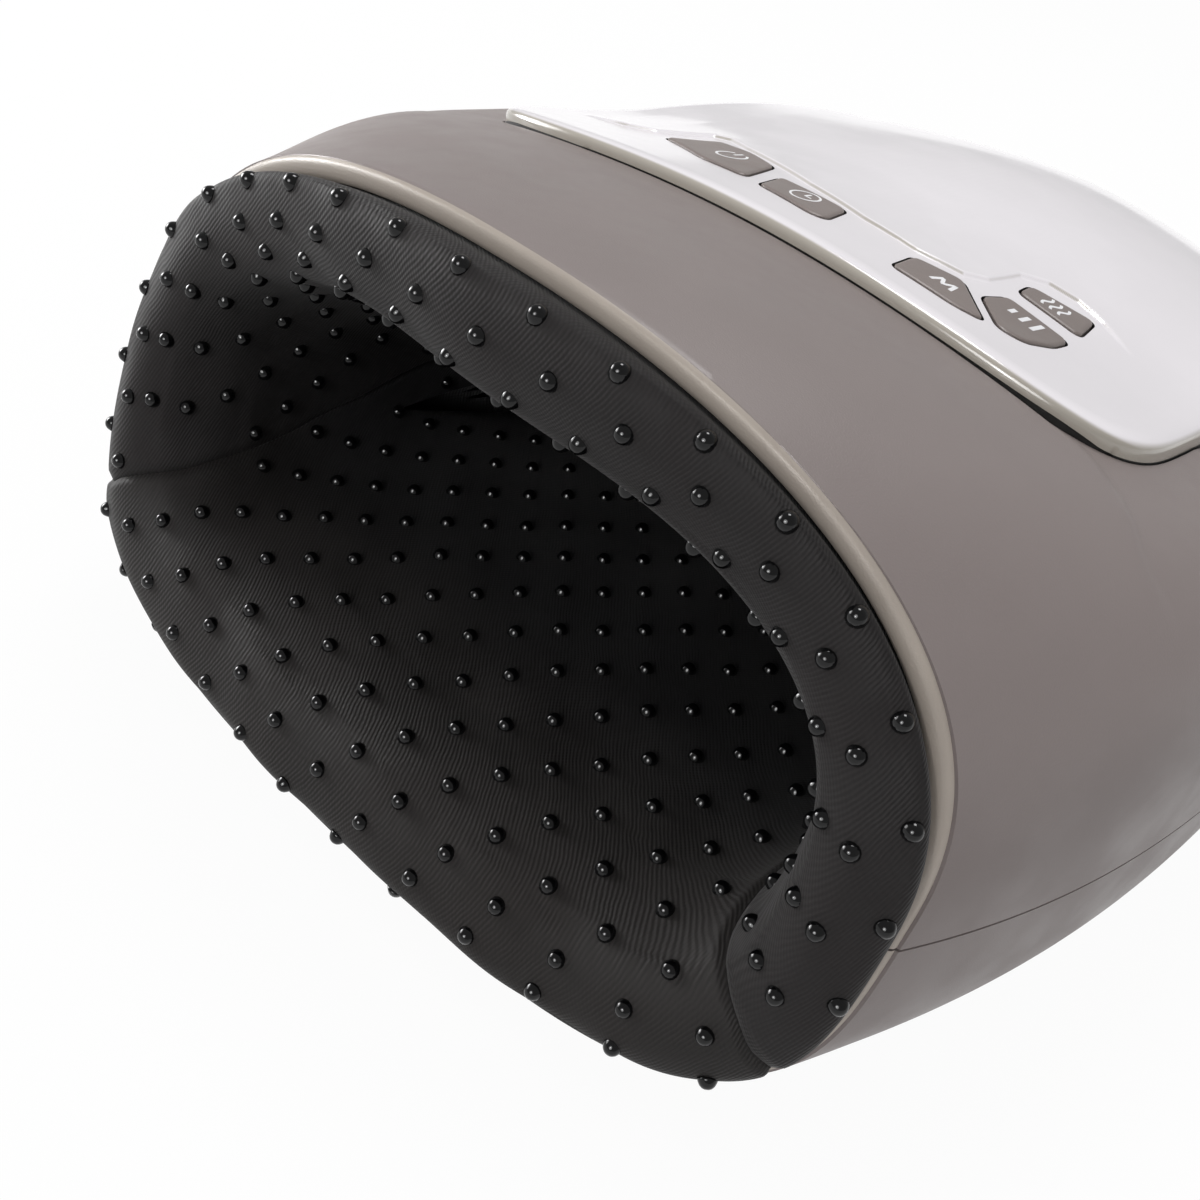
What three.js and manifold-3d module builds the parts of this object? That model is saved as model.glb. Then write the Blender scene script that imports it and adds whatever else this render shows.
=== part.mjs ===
// Hand compression massager: a padded tunnel for one hand, with air bags above and below it,
// inside a two-part case with a glossy cover and five keys on top.
// Millimetres, +Z up. The mouth faces -Y and the origin is on the table, under the middle.

import * as THREE from 'three';
import { mergeVertices } from 'three/addons/utils/BufferGeometryUtils.js';
import Module from 'manifold-3d';

const wasm = await Module();
wasm.setup();

// Driving dimensions: the case. Lengths along Y run from the lower lip of the mouth.
const caseLength = 217;
const caseHalfWidth = 92;
const shoulderTop = 78.1;
const crownHeight = 7.8;
const crownPower = 3.64;
const caseBase = 3.8;
const waistHeight = 44.4;
const wall = 3;
const mouthHalfWidth = 75.2;
const mouthTop = 94.4;
const mouthLean = 14.6;
const leanCurve = 1.22;
const mouthBow = 7.2;
const partingHeight = 40;
const partingGap = 0.4;
const widestShare = 0.531;
const wideningPower = 2.2;
const mouthTopPower = 2.25;
const bodyTopPower = 4.85;
const mouthBottomPower = 3.95;
const bodyBottomPower = 4.3;
const rearPlanPower = 2.07;
const rearTopPower = 3.1;
const rearBasePower = 3.6;

// Stations of the inner works, measured back from the case's rear end.
const rearRoom = 53;
const pumpLead = 15;
const pocketLead = 13;
const cellStation = caseLength - rearRoom;
const pumpStation = cellStation - pumpLead;

// The cover and its keys.
const coverHalfWidth = 61.7;
const coverFront = 63.9;
const coverMiddle = 96.9;
const coverRearRoom = 29;
const coverRear = caseLength - coverRearRoom;
const coverProud = 2.3;
const coverThickness = 2;
const coverFrontPower = 4.9;
const coverRearPower = 3.2;
const coverGap = 0.5;
const keyProud = 0.9;
const keyThickness = 3.4;
const keyGap = 0.45;
const keyTravel = 0.6;
const keyPostRadius = 2.2;

// The hand pocket: foam lining, air bags, arch and tray, from the inside out.
const sidePad = 14;
const roofPad = 14.5;
const floorPad = 18;
const pocketDepth = pumpStation - pocketLead;
const fingerRoom = 28.7;
const fingerTop = shoulderTop - fingerRoom;
const dropStartPower = 1.5;
const dropPower = 4;
const fingerTopPower = 3.4;
const fingerNarrow = 9;
const waistDrop = 12;
const liningThickness = 5.5;
const padSeamGap = 0.6;
const padSeamDrop = 12;
const seat = 0.3;
const heaterThickness = 1;
const bagThickness = 3.2;
const frameThickness = 2;
const bagHalfWidth = 44;
const bagFront = 30;
const bagInset = 18;
const bagRear = pocketDepth - bagInset;
const frameFront = 14;

// The board under the keys.
const boardThickness = 1.6;
const boardDrop = 4.1;
const boardHeight = shoulderTop - boardDrop;
const boardHalfWidth = 47;
const boardFront = 68;
const boardRear = 110;
const switchSide = 6;
const switchHeight = 3.2;
const switchStem = 1.6;
const boardPostRadius = 3;
const boardPostInset = 4;
const boardPostMiddle = 10.5;
const boardScrewRadius = 1;
const boardScrewHead = 2;
const boardScrewLength = 6;

// The air pump on its bracket, with its crank, valves and hoses.
const bracketDrop = 18.1;
const bracketTop = shoulderTop - bracketDrop;
const bracketThickness = 2.5;
const bracketLeft = -42;
const bracketRight = 44;
const bracketFront = pocketDepth;
const bracketReach = 19;
const bracketRear = pumpStation + bracketReach;
const postSide = 6;
const motorRadius = 7.2;
const motorLength = 26;
const motorStart = -36;
const pumpSpacing = 6;
const shaftRadius = 1.2;
const shaftGap = 0.4;
const headSide = 16;
const headLength = 18;
const headCavityRadius = 6.6;
const headCavityDepth = 10;
const crankRadius = 5.6;
const crankThickness = 4;
const crankPinRadius = 1.2;
const crankPinReach = 3;
const crankThrow = 3;
const valveLength = 15;
const valveWidth = 12;
const valveHeight = 13.5;
const valveStart = 16;
const valveSpacing = 2;
const plungerRadius = 2.7;
const plungerLength = 8;
const plungerStroke = 1.5;
const hoseRadius = 2.2;
const hoseSweep = 7.4;
const neckRadius = 3;
const neckInset = 24;
const neckStation = pocketDepth - neckInset;
const neckX = 14;
const neckRise = 6.5;
const neckTop = bracketTop + neckRise;
const neckBottom = 7.6;
const manifoldSide = 7;

// Battery, charging inlet, feet and screws.
const cellRadius = 9.2;
const cellLength = 65;
const cellLowHeight = 22.5;
const holderWall = 1.8;
const holderLip = 3;
const inletWidth = 9;
const inletSlot = 3.2;
const inletHeight = 26;
const inletDepth = 10;
const inletSlotDepth = 7;
const inletWall = 1.4;
const footRadius = 7;
const footSink = 1.6;
const footX = 45;
const footFrontStation = 40;
const footLead = 14;
const footRearStation = cellStation - footLead;
const ribX = 40;
const ribThickness = 2;
const ribFront = 24;
const ribInset = 32;
const ribRear = pocketDepth - ribInset;
const screwRadius = 1.5;
const screwHeadRadius = 2.9;
const screwHeadHeight = 2;
const screwLength = 12;
const bossRadius = 4.4;
const frontBossStation = 62;
const rearBossClear = 16;
const rearBossLead = 12;
const frontBoss = [mouthHalfWidth, frontBossStation];
const rearBoss = [bracketRight + rearBossClear, cellStation - rearBossLead];

// Mesh fineness and the overrun of cutting tools.
const ringPoints = 36;
const roundSides = 24;
const cellSides = 32;
const screwSides = 16;
const pinSides = 12;
const coverPoints = 48;
const hoseSides = 8;
const hoseSteps = 18;
const overrun = 2;

// Materials: colour, roughness and metalness by finish.
const finish = (color, roughness, metalness = 0) =>
  new THREE.MeshStandardMaterial({ color, roughness, metalness });
const taupe = finish(0x857c7c, 0.55);
const white = finish(0xe6e2e4, 0.25);
const keyGrey = finish(0x7d7471, 0.5);
const twill = finish(0x141416, 0.8);
const bagGrey = finish(0x3c4044, 0.6);
const heaterAmber = finish(0x7a4a22, 0.4);
const framePlastic = finish(0xcfd0cc, 0.6);
const boardGreen = finish(0x1d5b34, 0.5);
const switchBlack = finish(0x1b1b1c, 0.5);
const steel = finish(0xb9bcc0, 0.3, 1);
const pumpPlastic = finish(0x2a2c30, 0.5);
const hoseClear = finish(0xd8dcdc, 0.35);
const cellBlue = finish(0x2f5f9a, 0.4);
const rubber = finish(0x2b2a2a, 0.9);

const massager = new THREE.Group();

// Solids: every geometry becomes a closed manifold body before it is cut or joined.
function solid(geometry) {
  const bare = geometry.index ? geometry.toNonIndexed() : geometry.clone();
  bare.deleteAttribute('normal');
  bare.deleteAttribute('uv');
  const merged = mergeVertices(bare, 1e-4);
  return new wasm.Manifold(new wasm.Mesh({
    numProp: 3,
    vertProperties: new Float32Array(merged.attributes.position.array),
    triVerts: new Uint32Array(merged.index.array),
  }));
}

function addPart(name, body, material) {
  const mesh = body.getMesh();
  const geometry = new THREE.BufferGeometry();
  geometry.setAttribute('position', new THREE.BufferAttribute(mesh.vertProperties, 3));
  geometry.setIndex(new THREE.BufferAttribute(mesh.triVerts, 1));
  geometry.computeVertexNormals();
  const part = new THREE.Mesh(geometry, material);
  part.name = name;
  massager.add(part);
}

// A loft through rings of equal point counts; both ends close on their middle point.
function loft(rings) {
  const points = [];
  const faces = [];
  const count = rings[0].length;
  for (const ring of rings) {
    for (const point of ring) points.push(...point);
  }
  for (let row = 0; row + 1 < rings.length; row += 1) {
    for (let i = 0; i < count; i += 1) {
      const a = row * count + i;
      const b = row * count + ((i + 1) % count);
      faces.push(a, a + count, b, b, a + count, b + count);
    }
  }
  const lastRow = rings.length - 1;
  for (const row of [0, lastRow]) {
    const middle = [0, 1, 2].map((k) => rings[row].reduce((sum, p) => sum + p[k], 0) / count);
    const centre = points.length / 3;
    points.push(...middle);
    for (let i = 0; i < count; i += 1) {
      const a = row * count + i;
      const b = row * count + ((i + 1) % count);
      if (row === 0) faces.push(centre, a, b);
      else faces.push(centre, b, a);
    }
  }
  const geometry = new THREE.BufferGeometry();
  geometry.setAttribute('position', new THREE.Float32BufferAttribute(points, 3));
  geometry.setIndex(faces);
  return solid(geometry);
}

function block(x0, x1, y0, y1, z0, z1) {
  const geometry = new THREE.BoxGeometry(x1 - x0, y1 - y0, z1 - z0);
  geometry.translate((x0 + x1) / 2, (y0 + y1) / 2, (z0 + z1) / 2);
  return solid(geometry);
}

// A cylinder from a start point along 'x', 'y' or 'z'.
function rod(radius, length, axis, x, y, z, sides = roundSides) {
  const geometry = new THREE.CylinderGeometry(radius, radius, length, sides);
  geometry.translate(0, length / 2, 0);
  if (axis === 'x') geometry.rotateZ(-Math.PI / 2);
  if (axis === 'z') geometry.rotateX(Math.PI / 2);
  geometry.translate(x, y, z);
  return solid(geometry);
}

function prism(outline, z0, z1) {
  const shape = new THREE.Shape(outline.map(([x, y]) => new THREE.Vector2(x, y)));
  const geometry = new THREE.ExtrudeGeometry(shape, { depth: z1 - z0, bevelEnabled: false });
  geometry.translate(0, 0, z0);
  return solid(geometry);
}

const mix = (a, b, t) => a + (b - a) * t;
const power = (value, exponent) => Math.sign(value) * Math.abs(value) ** exponent;

// One ring of a section whose halves are superellipses that meet at the waist, with a crown on top.
function sectionRing(section, place) {
  const ring = [];
  for (let i = 0; i < ringPoints; i += 1) {
    const angle = (i / ringPoints) * 2 * Math.PI;
    const c = Math.cos(angle);
    const s = Math.sin(angle);
    const exponent = s >= 0 ? section.topPower : section.bottomPower;
    const radius = (Math.abs(c) ** exponent + Math.abs(s) ** exponent) ** (-1 / exponent);
    const x = section.halfWidth * radius * c;
    const height = s >= 0 ? section.top - section.waist : section.waist - section.bottom;
    const crown = s > 0 ? section.crown * (1 - (radius * c) ** 2) ** crownPower : 0;
    const z = section.waist + height * radius * s + crown;
    ring.push([x, place(x, z), z]);
  }
  return ring;
}

// The mouth leans back and bellies out, and its sides are set back a little.
function mouthPlace(x, z) {
  const rise = Math.min(Math.max((z - caseBase) / (mouthTop - caseBase), 0), 1);
  const side = Math.min(Math.abs(x) / mouthHalfWidth, 1);
  return mouthLean * ((1 + leanCurve) * rise - leanCurve * rise * rise) + mouthBow * side * side;
}

// The case's section at a share of its length, drawn in by an inset.
function caseSection(share, inset) {
  const run = Math.min(Math.max(share / widestShare, 0), 1);
  const past = Math.min(Math.max((share - widestShare) / (1 - widestShare), 0), 1);
  const close = (exponent) => (1 - past ** exponent) ** (1 / exponent);
  const widening = 1 - (1 - run) ** wideningPower;
  const falling = run * run * (3 - 2 * run);
  const top = mix(mouthTop, shoulderTop, falling);
  return {
    halfWidth: (mix(mouthHalfWidth, caseHalfWidth, widening) - inset) * close(rearPlanPower),
    top: waistHeight + (top - waistHeight - inset) * close(rearTopPower),
    waist: waistHeight,
    bottom: waistHeight - (waistHeight - caseBase - inset) * close(rearBasePower),
    topPower: mix(mouthTopPower, bodyTopPower, falling),
    bottomPower: mix(mouthBottomPower, bodyBottomPower, widening),
    crown: crownHeight * falling * Math.sqrt(1 - past * past),
  };
}

const caseShares = [0, 0.07, 0.14, 0.21, 0.28, 0.35, 0.43, 0.51, 0.59, 0.67, 0.74, 0.81, 0.87, 0.92, 0.955,
  0.98, 0.994, 0.9995];

function caseBody(inset, reach = 0) {
  const length = caseLength - inset;
  const rings = caseShares.map((share) => {
    const follow = Math.max(1 - share / widestShare, 0) ** 2;
    const section = caseSection(share, inset);
    const start = share === 0 ? reach : 0;
    return sectionRing(section, (x, z) => share * length + follow * mouthPlace(x, z) - start);
  });
  return loft(rings);
}

function boundsBlock(z0, z1) {
  return block(-caseHalfWidth - overrun, caseHalfWidth + overrun, -caseLength, 2 * caseLength, z0, z1);
}

// The cover's outline seen from above, grown by a margin.
function coverOutline(margin) {
  const outline = [];
  for (let i = 0; i < coverPoints; i += 1) {
    const angle = (i / coverPoints) * 2 * Math.PI;
    const c = Math.cos(angle);
    const s = Math.sin(angle);
    const exponent = 2 / (s < 0 ? coverFrontPower : coverRearPower);
    const reach = s < 0 ? coverMiddle - coverFront : coverRear - coverMiddle;
    outline.push([(coverHalfWidth + margin) * power(c, exponent),
      coverMiddle + (reach + margin) * power(s, exponent)]);
  }
  return outline;
}

const outerCase = caseBody(0);
const innerCase = caseBody(wall, overrun);
const coverTool = prism(coverOutline(coverGap), waistHeight, mouthTop + coverProud + overrun);
const coverFloor = caseBody(coverThickness - coverProud + coverGap);

// Key corners from above: shares of the cover's half width, and of its length from its front edge.
const keyShares = {
  key_power: [[-0.569, 0.18], [-0.519, 0.274], [-0.389, 0.262], [-0.272, 0.229], [-0.207, 0.115],
    [-0.352, 0.121]],
  key_timer: [[-0.151, 0.107], [-0.190, 0.185], [0.031, 0.176], [0.066, 0.101], [0.031, 0.090]],
  key_mode: [[0.295, 0.074], [0.269, 0.150], [0.386, 0.177], [0.535, 0.094], [0.465, 0.077]],
  key_intensity: [[0.451, 0.168], [0.468, 0.223], [0.653, 0.218], [0.655, 0.168], [0.622, 0.118],
    [0.564, 0.106]],
  key_heat: [[0.459, 0.263], [0.449, 0.308], [0.618, 0.336], [0.643, 0.262]],
};
const keyOutlines = Object.fromEntries(Object.entries(keyShares).map(([name, corners]) => [name,
  corners.map(([across, along]) => [across * coverHalfWidth, mix(coverFront, coverRear, along)])]));

function middleOf(outline) {
  return [0, 1].map((k) => outline.reduce((sum, corner) => sum + corner[k], 0) / outline.length);
}

// An outline grown outwards by moving each edge along its own normal.
function grown(outline, margin) {
  const [cx, cy] = middleOf(outline);
  const edges = outline.map((a, i) => {
    const b = outline[(i + 1) % outline.length];
    const span = Math.hypot(b[0] - a[0], b[1] - a[1]);
    let nx = (b[1] - a[1]) / span;
    let ny = (a[0] - b[0]) / span;
    if (nx * (a[0] - cx) + ny * (a[1] - cy) < 0) {
      nx = -nx;
      ny = -ny;
    }
    return { nx, ny, d: nx * a[0] + ny * a[1] + margin };
  });
  return edges.map((edge, i) => {
    const before = edges[(i + edges.length - 1) % edges.length];
    const det = before.nx * edge.ny - before.ny * edge.nx;
    return [(before.d * edge.ny - before.ny * edge.d) / det, (before.nx * edge.d - before.d * edge.nx) / det];
  });
}

const switchBase = boardHeight + boardThickness + seat;
const stemTop = switchBase + switchHeight + switchStem;

function keyTool(outline, margin) {
  return prism(grown(outline, margin), boardHeight + boardThickness + seat, mouthTop + coverProud + overrun);
}

const screwSeat = partingHeight - screwLength / 2;
const inCase = (body) => body.intersect(caseBody(wall / 2));
const mirrored = ([x, y]) => [[-x, y], [x, y]];
const bossPlaces = [...mirrored(frontBoss), ...mirrored(rearBoss)];
const footPlaces = [...mirrored([footX, footFrontStation]), ...mirrored([footX, footRearStation])];
const boardPosts = [
  [boardPostMiddle, boardFront + boardPostInset],
  [boardHalfWidth - boardPostInset, boardFront + boardPostInset],
  [boardPostInset - boardHalfWidth, boardRear - boardPostInset],
  [boardHalfWidth - boardPostInset, boardRear - boardPostInset],
];

// Upper shell, lower shell and cover.
function buildCase() {
  let upper = outerCase.subtract(innerCase)
    .intersect(boundsBlock(partingHeight + partingGap / 2, mouthTop + overrun));
  upper = upper.subtract(coverTool.subtract(coverFloor));
  let cover = caseBody(-coverProud).subtract(caseBody(coverThickness - coverProud))
    .intersect(prism(coverOutline(0), waistHeight, mouthTop + coverProud + overrun));
  for (const outline of Object.values(keyOutlines)) {
    const hole = keyTool(outline, keyGap);
    upper = upper.subtract(hole);
    cover = cover.subtract(hole);
  }
  const postBase = boardHeight + boardThickness + seat;
  for (const [x, y] of boardPosts) {
    upper = upper.add(inCase(rod(boardPostRadius, mouthTop - postBase, 'z', x, y, postBase)));
    upper = upper.subtract(rod(boardScrewRadius + seat, boardScrewLength, 'z', x, y, postBase - overrun));
  }
  let lower = outerCase.subtract(innerCase)
    .intersect(boundsBlock(-overrun, partingHeight - partingGap / 2));
  for (const x of [-ribX, 0, ribX]) {
    const rib = block(x - ribThickness / 2, x + ribThickness / 2, ribFront, ribRear, 0, waistHeight);
    lower = lower.add(inCase(rib).subtract(pocketShell(frameOut + seat)));
  }
  for (const [x, y] of bossPlaces) {
    lower = lower.add(inCase(rod(bossRadius, partingHeight - partingGap / 2, 'z', x, y, 0)));
    lower = lower.subtract(rod(screwRadius + seat, mouthTop, 'z', x, y, 0));
    lower = lower.subtract(rod(screwHeadRadius + seat, screwSeat, 'z', x, y, 0));
    const high = inCase(rod(bossRadius, mouthTop, 'z', x, y, partingHeight + partingGap / 2));
    const thread = rod(screwRadius + seat, screwLength, 'z', x, y, partingHeight - overrun);
    upper = upper.add(high.subtract(thread));
  }
  for (const [x, y] of footPlaces) {
    lower = lower.subtract(rod(footRadius + seat, caseBase + footSink, 'z', x, y, 0));
  }
  lower = lower.subtract(inletBlock(seat, overrun));
  addPart('upper_shell', upper, taupe);
  addPart('lower_shell', lower, taupe);
  addPart('top_cover', cover, white);
}

// The charging inlet's body, grown by a margin, reaching past the case by an extra length.
function inletBlock(margin, extra) {
  const x = inletWidth / 2 + inletWall + margin;
  const z = inletSlot / 2 + inletWall + margin;
  return block(-x, x, caseLength - inletDepth - margin, caseLength + extra, inletHeight - z, inletHeight + z);
}

// Keys with their stems, and the board and switches under them.
function buildKeys() {
  const keyLayer = caseBody(-coverProud - keyProud).subtract(caseBody(keyThickness - coverProud - keyProud));
  for (const [name, outline] of Object.entries(keyOutlines)) {
    const [x, y] = middleOf(outline);
    const cap = keyLayer.intersect(keyTool(outline, 0));
    const stem = rod(keyPostRadius, mouthTop, 'z', x, y, stemTop + keyTravel + seat, pinSides)
      .intersect(caseBody(keyThickness / 2 - coverProud));
    addPart(name, cap.add(stem), keyGrey);
    const body = block(x - switchSide / 2, x + switchSide / 2, y - switchSide / 2, y + switchSide / 2,
      switchBase, switchBase + switchHeight);
    const button = rod(switchSide / 4, switchHeight / 2 + switchStem, 'z', x, y,
      switchBase + switchHeight / 2, pinSides);
    addPart(name.replace('key', 'switch'), body.add(button), switchBlack);
  }
  let board = block(-boardHalfWidth, boardHalfWidth, boardFront, boardRear,
    boardHeight, boardHeight + boardThickness);
  boardPosts.forEach(([x, y], i) => {
    board = board.subtract(rod(boardScrewRadius + seat, boardThickness + overrun, 'z', x, y,
      boardHeight - overrun / 2));
    const head = rod(boardScrewHead, boardScrewRadius, 'z', x, y, boardHeight - boardScrewRadius - seat,
      pinSides);
    const shank = rod(boardScrewRadius, boardScrewLength - overrun, 'z', x, y,
      boardHeight - seat * 1.3, pinSides);
    addPart(`board_screw_${i + 1}`, head.add(shank), steel);
  });
  addPart('key_board', board, boardGreen);
}

// The hand pocket. Stations run in from the mouth; insets are measured from the mouth's inner edge.
const mouthInner = {
  halfWidth: mouthHalfWidth - wall,
  top: mouthTop - wall,
  bottom: caseBase + wall,
};

// Each station: share of the pocket's depth, and shares of the side, roof and floor pads.
const pocketShares = [
  [-0.05, 0.5, 0.5, 0.22], [-0.035, 0.72, 0.72, 0.3], [0, 0.9, 0.9, 0.42], [0.045, 1, 1, 0.62],
  [0.1, 1, 1, 0.84], [0.19, 1, 1, 0.98], [0.35, 1, 1, 1], [0.55, 1, 1, 1], [0.75, 1, 1, 1],
];
const pocketEndShares = [[0.87, 0.93], [0.94, 0.78], [0.98, 0.55]];
// Where the pocket's shell starts, and how far it then lies in from the mouth's inner edge.
const shellFrontShares = [[-0.05, 0.42], [-0.03, 0.12], [-0.004, 0.03]];
const edgeShare = 0.04;
const rollShare = 0.1;
const followShare = 0.5;
const fingerDrop = mouthInner.top - roofPad - fingerTop;

function pocketSection(depthShare, side, roof, floor, grow) {
  const inward = Math.max(depthShare, 0);
  const drop = fingerDrop * (1 - (1 - inward ** dropStartPower) ** dropPower);
  return {
    halfWidth: mouthInner.halfWidth - side * sidePad - fingerNarrow * inward * inward + grow,
    top: mouthInner.top - roof * roofPad - drop + grow,
    waist: waistHeight - waistDrop * inward,
    bottom: mouthInner.bottom + floor * floorPad - grow,
    topPower: mix(mouthTopPower, fingerTopPower, inward),
    bottomPower: mouthBottomPower,
    crown: 0,
  };
}

function pocketPlace(depthShare, grow) {
  const follow = Math.max(1 - Math.max(depthShare, 0) / followShare, 0);
  const stretch = depthShare < pocketEndShares[0][0] ? 0 : grow;
  return (x, z) => depthShare * pocketDepth + stretch + follow * mouthPlace(x, z);
}

// The hand's space itself, with a mouth that opens out into free air.
function pocketSpace() {
  const rings = [];
  const [, side, roof, floor] = pocketShares[0];
  const mouth = pocketSection(0, side, roof, floor, overrun);
  rings.push(sectionRing(mouth, pocketPlace(pocketShares[0][0] - 2 * overrun / pocketDepth, 0)));
  for (const [depth, s, r, f] of pocketShares) {
    rings.push(sectionRing(pocketSection(depth, s, r, f, 0), pocketPlace(depth, 0)));
  }
  rings.push(...pocketEnd(0));
  return loft(rings);
}

function pocketEnd(grow) {
  return pocketEndShares.map(([depth, size]) => {
    const full = pocketSection(depth, 1, 1, 1, grow);
    const middle = (full.top + full.bottom) / 2;
    const section = {
      ...full,
      halfWidth: full.halfWidth * size,
      top: middle + (full.top - middle) * size,
      waist: mix(middle, full.waist, size),
      bottom: middle + (full.bottom - middle) * size,
    };
    return sectionRing(section, pocketPlace(depth, grow));
  });
}

// The pocket grown outwards by a thickness, limited to the mouth's inner edge near the front.
function pocketShell(grow) {
  const rings = shellFrontShares.map(([depth, share]) => {
    const section = pocketSection(0, share, share, share / 2, 0);
    return sectionRing(section, pocketPlace(depth, 0));
  });
  for (const [depth, s, r, f] of pocketShares.slice(3)) {
    const blend = Math.min(depth / rollShare, 1);
    const edge = pocketSection(depth, edgeShare, edgeShare, edgeShare / 2, 0);
    const full = pocketSection(depth, s, r, f, grow);
    const section = {
      ...full,
      halfWidth: Math.min(mix(edge.halfWidth, full.halfWidth, blend), edge.halfWidth),
      top: Math.min(mix(edge.top, full.top, blend), edge.top),
      bottom: Math.max(mix(edge.bottom, full.bottom, blend), edge.bottom),
    };
    rings.push(sectionRing(section, pocketPlace(depth, grow)));
  }
  rings.push(...pocketEnd(grow));
  return loft(rings);
}

function layer(inner, outer, tool) {
  return pocketShell(outer).subtract(pocketShell(inner)).intersect(tool);
}

const bagIn = liningThickness + seat;
const heaterOut = bagIn + heaterThickness;
const lowBagIn = heaterOut + seat;
const bagOut = lowBagIn + bagThickness;
const frameIn = bagOut + seat;
const frameOut = frameIn + frameThickness;
const padSeam = waistHeight - padSeamDrop;

function buildPocket() {
  const lining = pocketShell(liningThickness).subtract(pocketSpace());
  addPart('lining_roof', lining.intersect(boundsBlock(padSeam + padSeamGap / 2, mouthTop)), twill);
  addPart('lining_floor', lining.intersect(boundsBlock(-overrun, padSeam - padSeamGap / 2)), twill);

  const above = block(-bagHalfWidth, bagHalfWidth, bagFront, bagRear, padSeam + padSeamDrop / 2, mouthTop);
  const below = block(-bagHalfWidth, bagHalfWidth, bagFront, bagRear, 0, padSeam - padSeamDrop / 2);
  const neckHigh = rod(neckRadius, neckTop - waistHeight, 'z', neckX, neckStation, waistHeight)
    .subtract(pocketShell(bagIn));
  const neckLow = rod(neckRadius, waistHeight - neckBottom, 'z', neckX, neckStation, neckBottom)
    .subtract(pocketShell(lowBagIn));
  addPart('airbag_upper', layer(bagIn, bagOut, above).add(neckHigh), bagGrey);
  addPart('heating_pad', layer(bagIn, heaterOut, below), heaterAmber);
  addPart('airbag_lower', layer(lowBagIn, bagOut, below).add(neckLow), bagGrey);

  const neckHole = rod(neckRadius + seat, mouthTop, 'z', neckX, neckStation, 0);
  const wide = (z0, z1) => block(-caseHalfWidth, caseHalfWidth, frameFront, caseLength, z0, z1);
  const arch = layer(frameIn, frameOut, wide(padSeam + padSeamGap / 2, mouthTop));
  const tray = layer(frameIn, frameOut, wide(0, padSeam - padSeamGap / 2));
  addPart('finger_arch', arch.subtract(neckHole), framePlastic);
  addPart('palm_tray', tray.subtract(neckHole), framePlastic);
}

// A hose along a smooth curve through its points.
function hose(points) {
  const path = new THREE.CatmullRomCurve3(points.map((point) => new THREE.Vector3(...point)));
  const round = new THREE.Shape();
  round.absarc(0, 0, hoseRadius, 0, 2 * Math.PI, false);
  return solid(new THREE.ExtrudeGeometry(round,
    { steps: hoseSteps, curveSegments: hoseSides / 2, bevelEnabled: false, extrudePath: path }));
}

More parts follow.
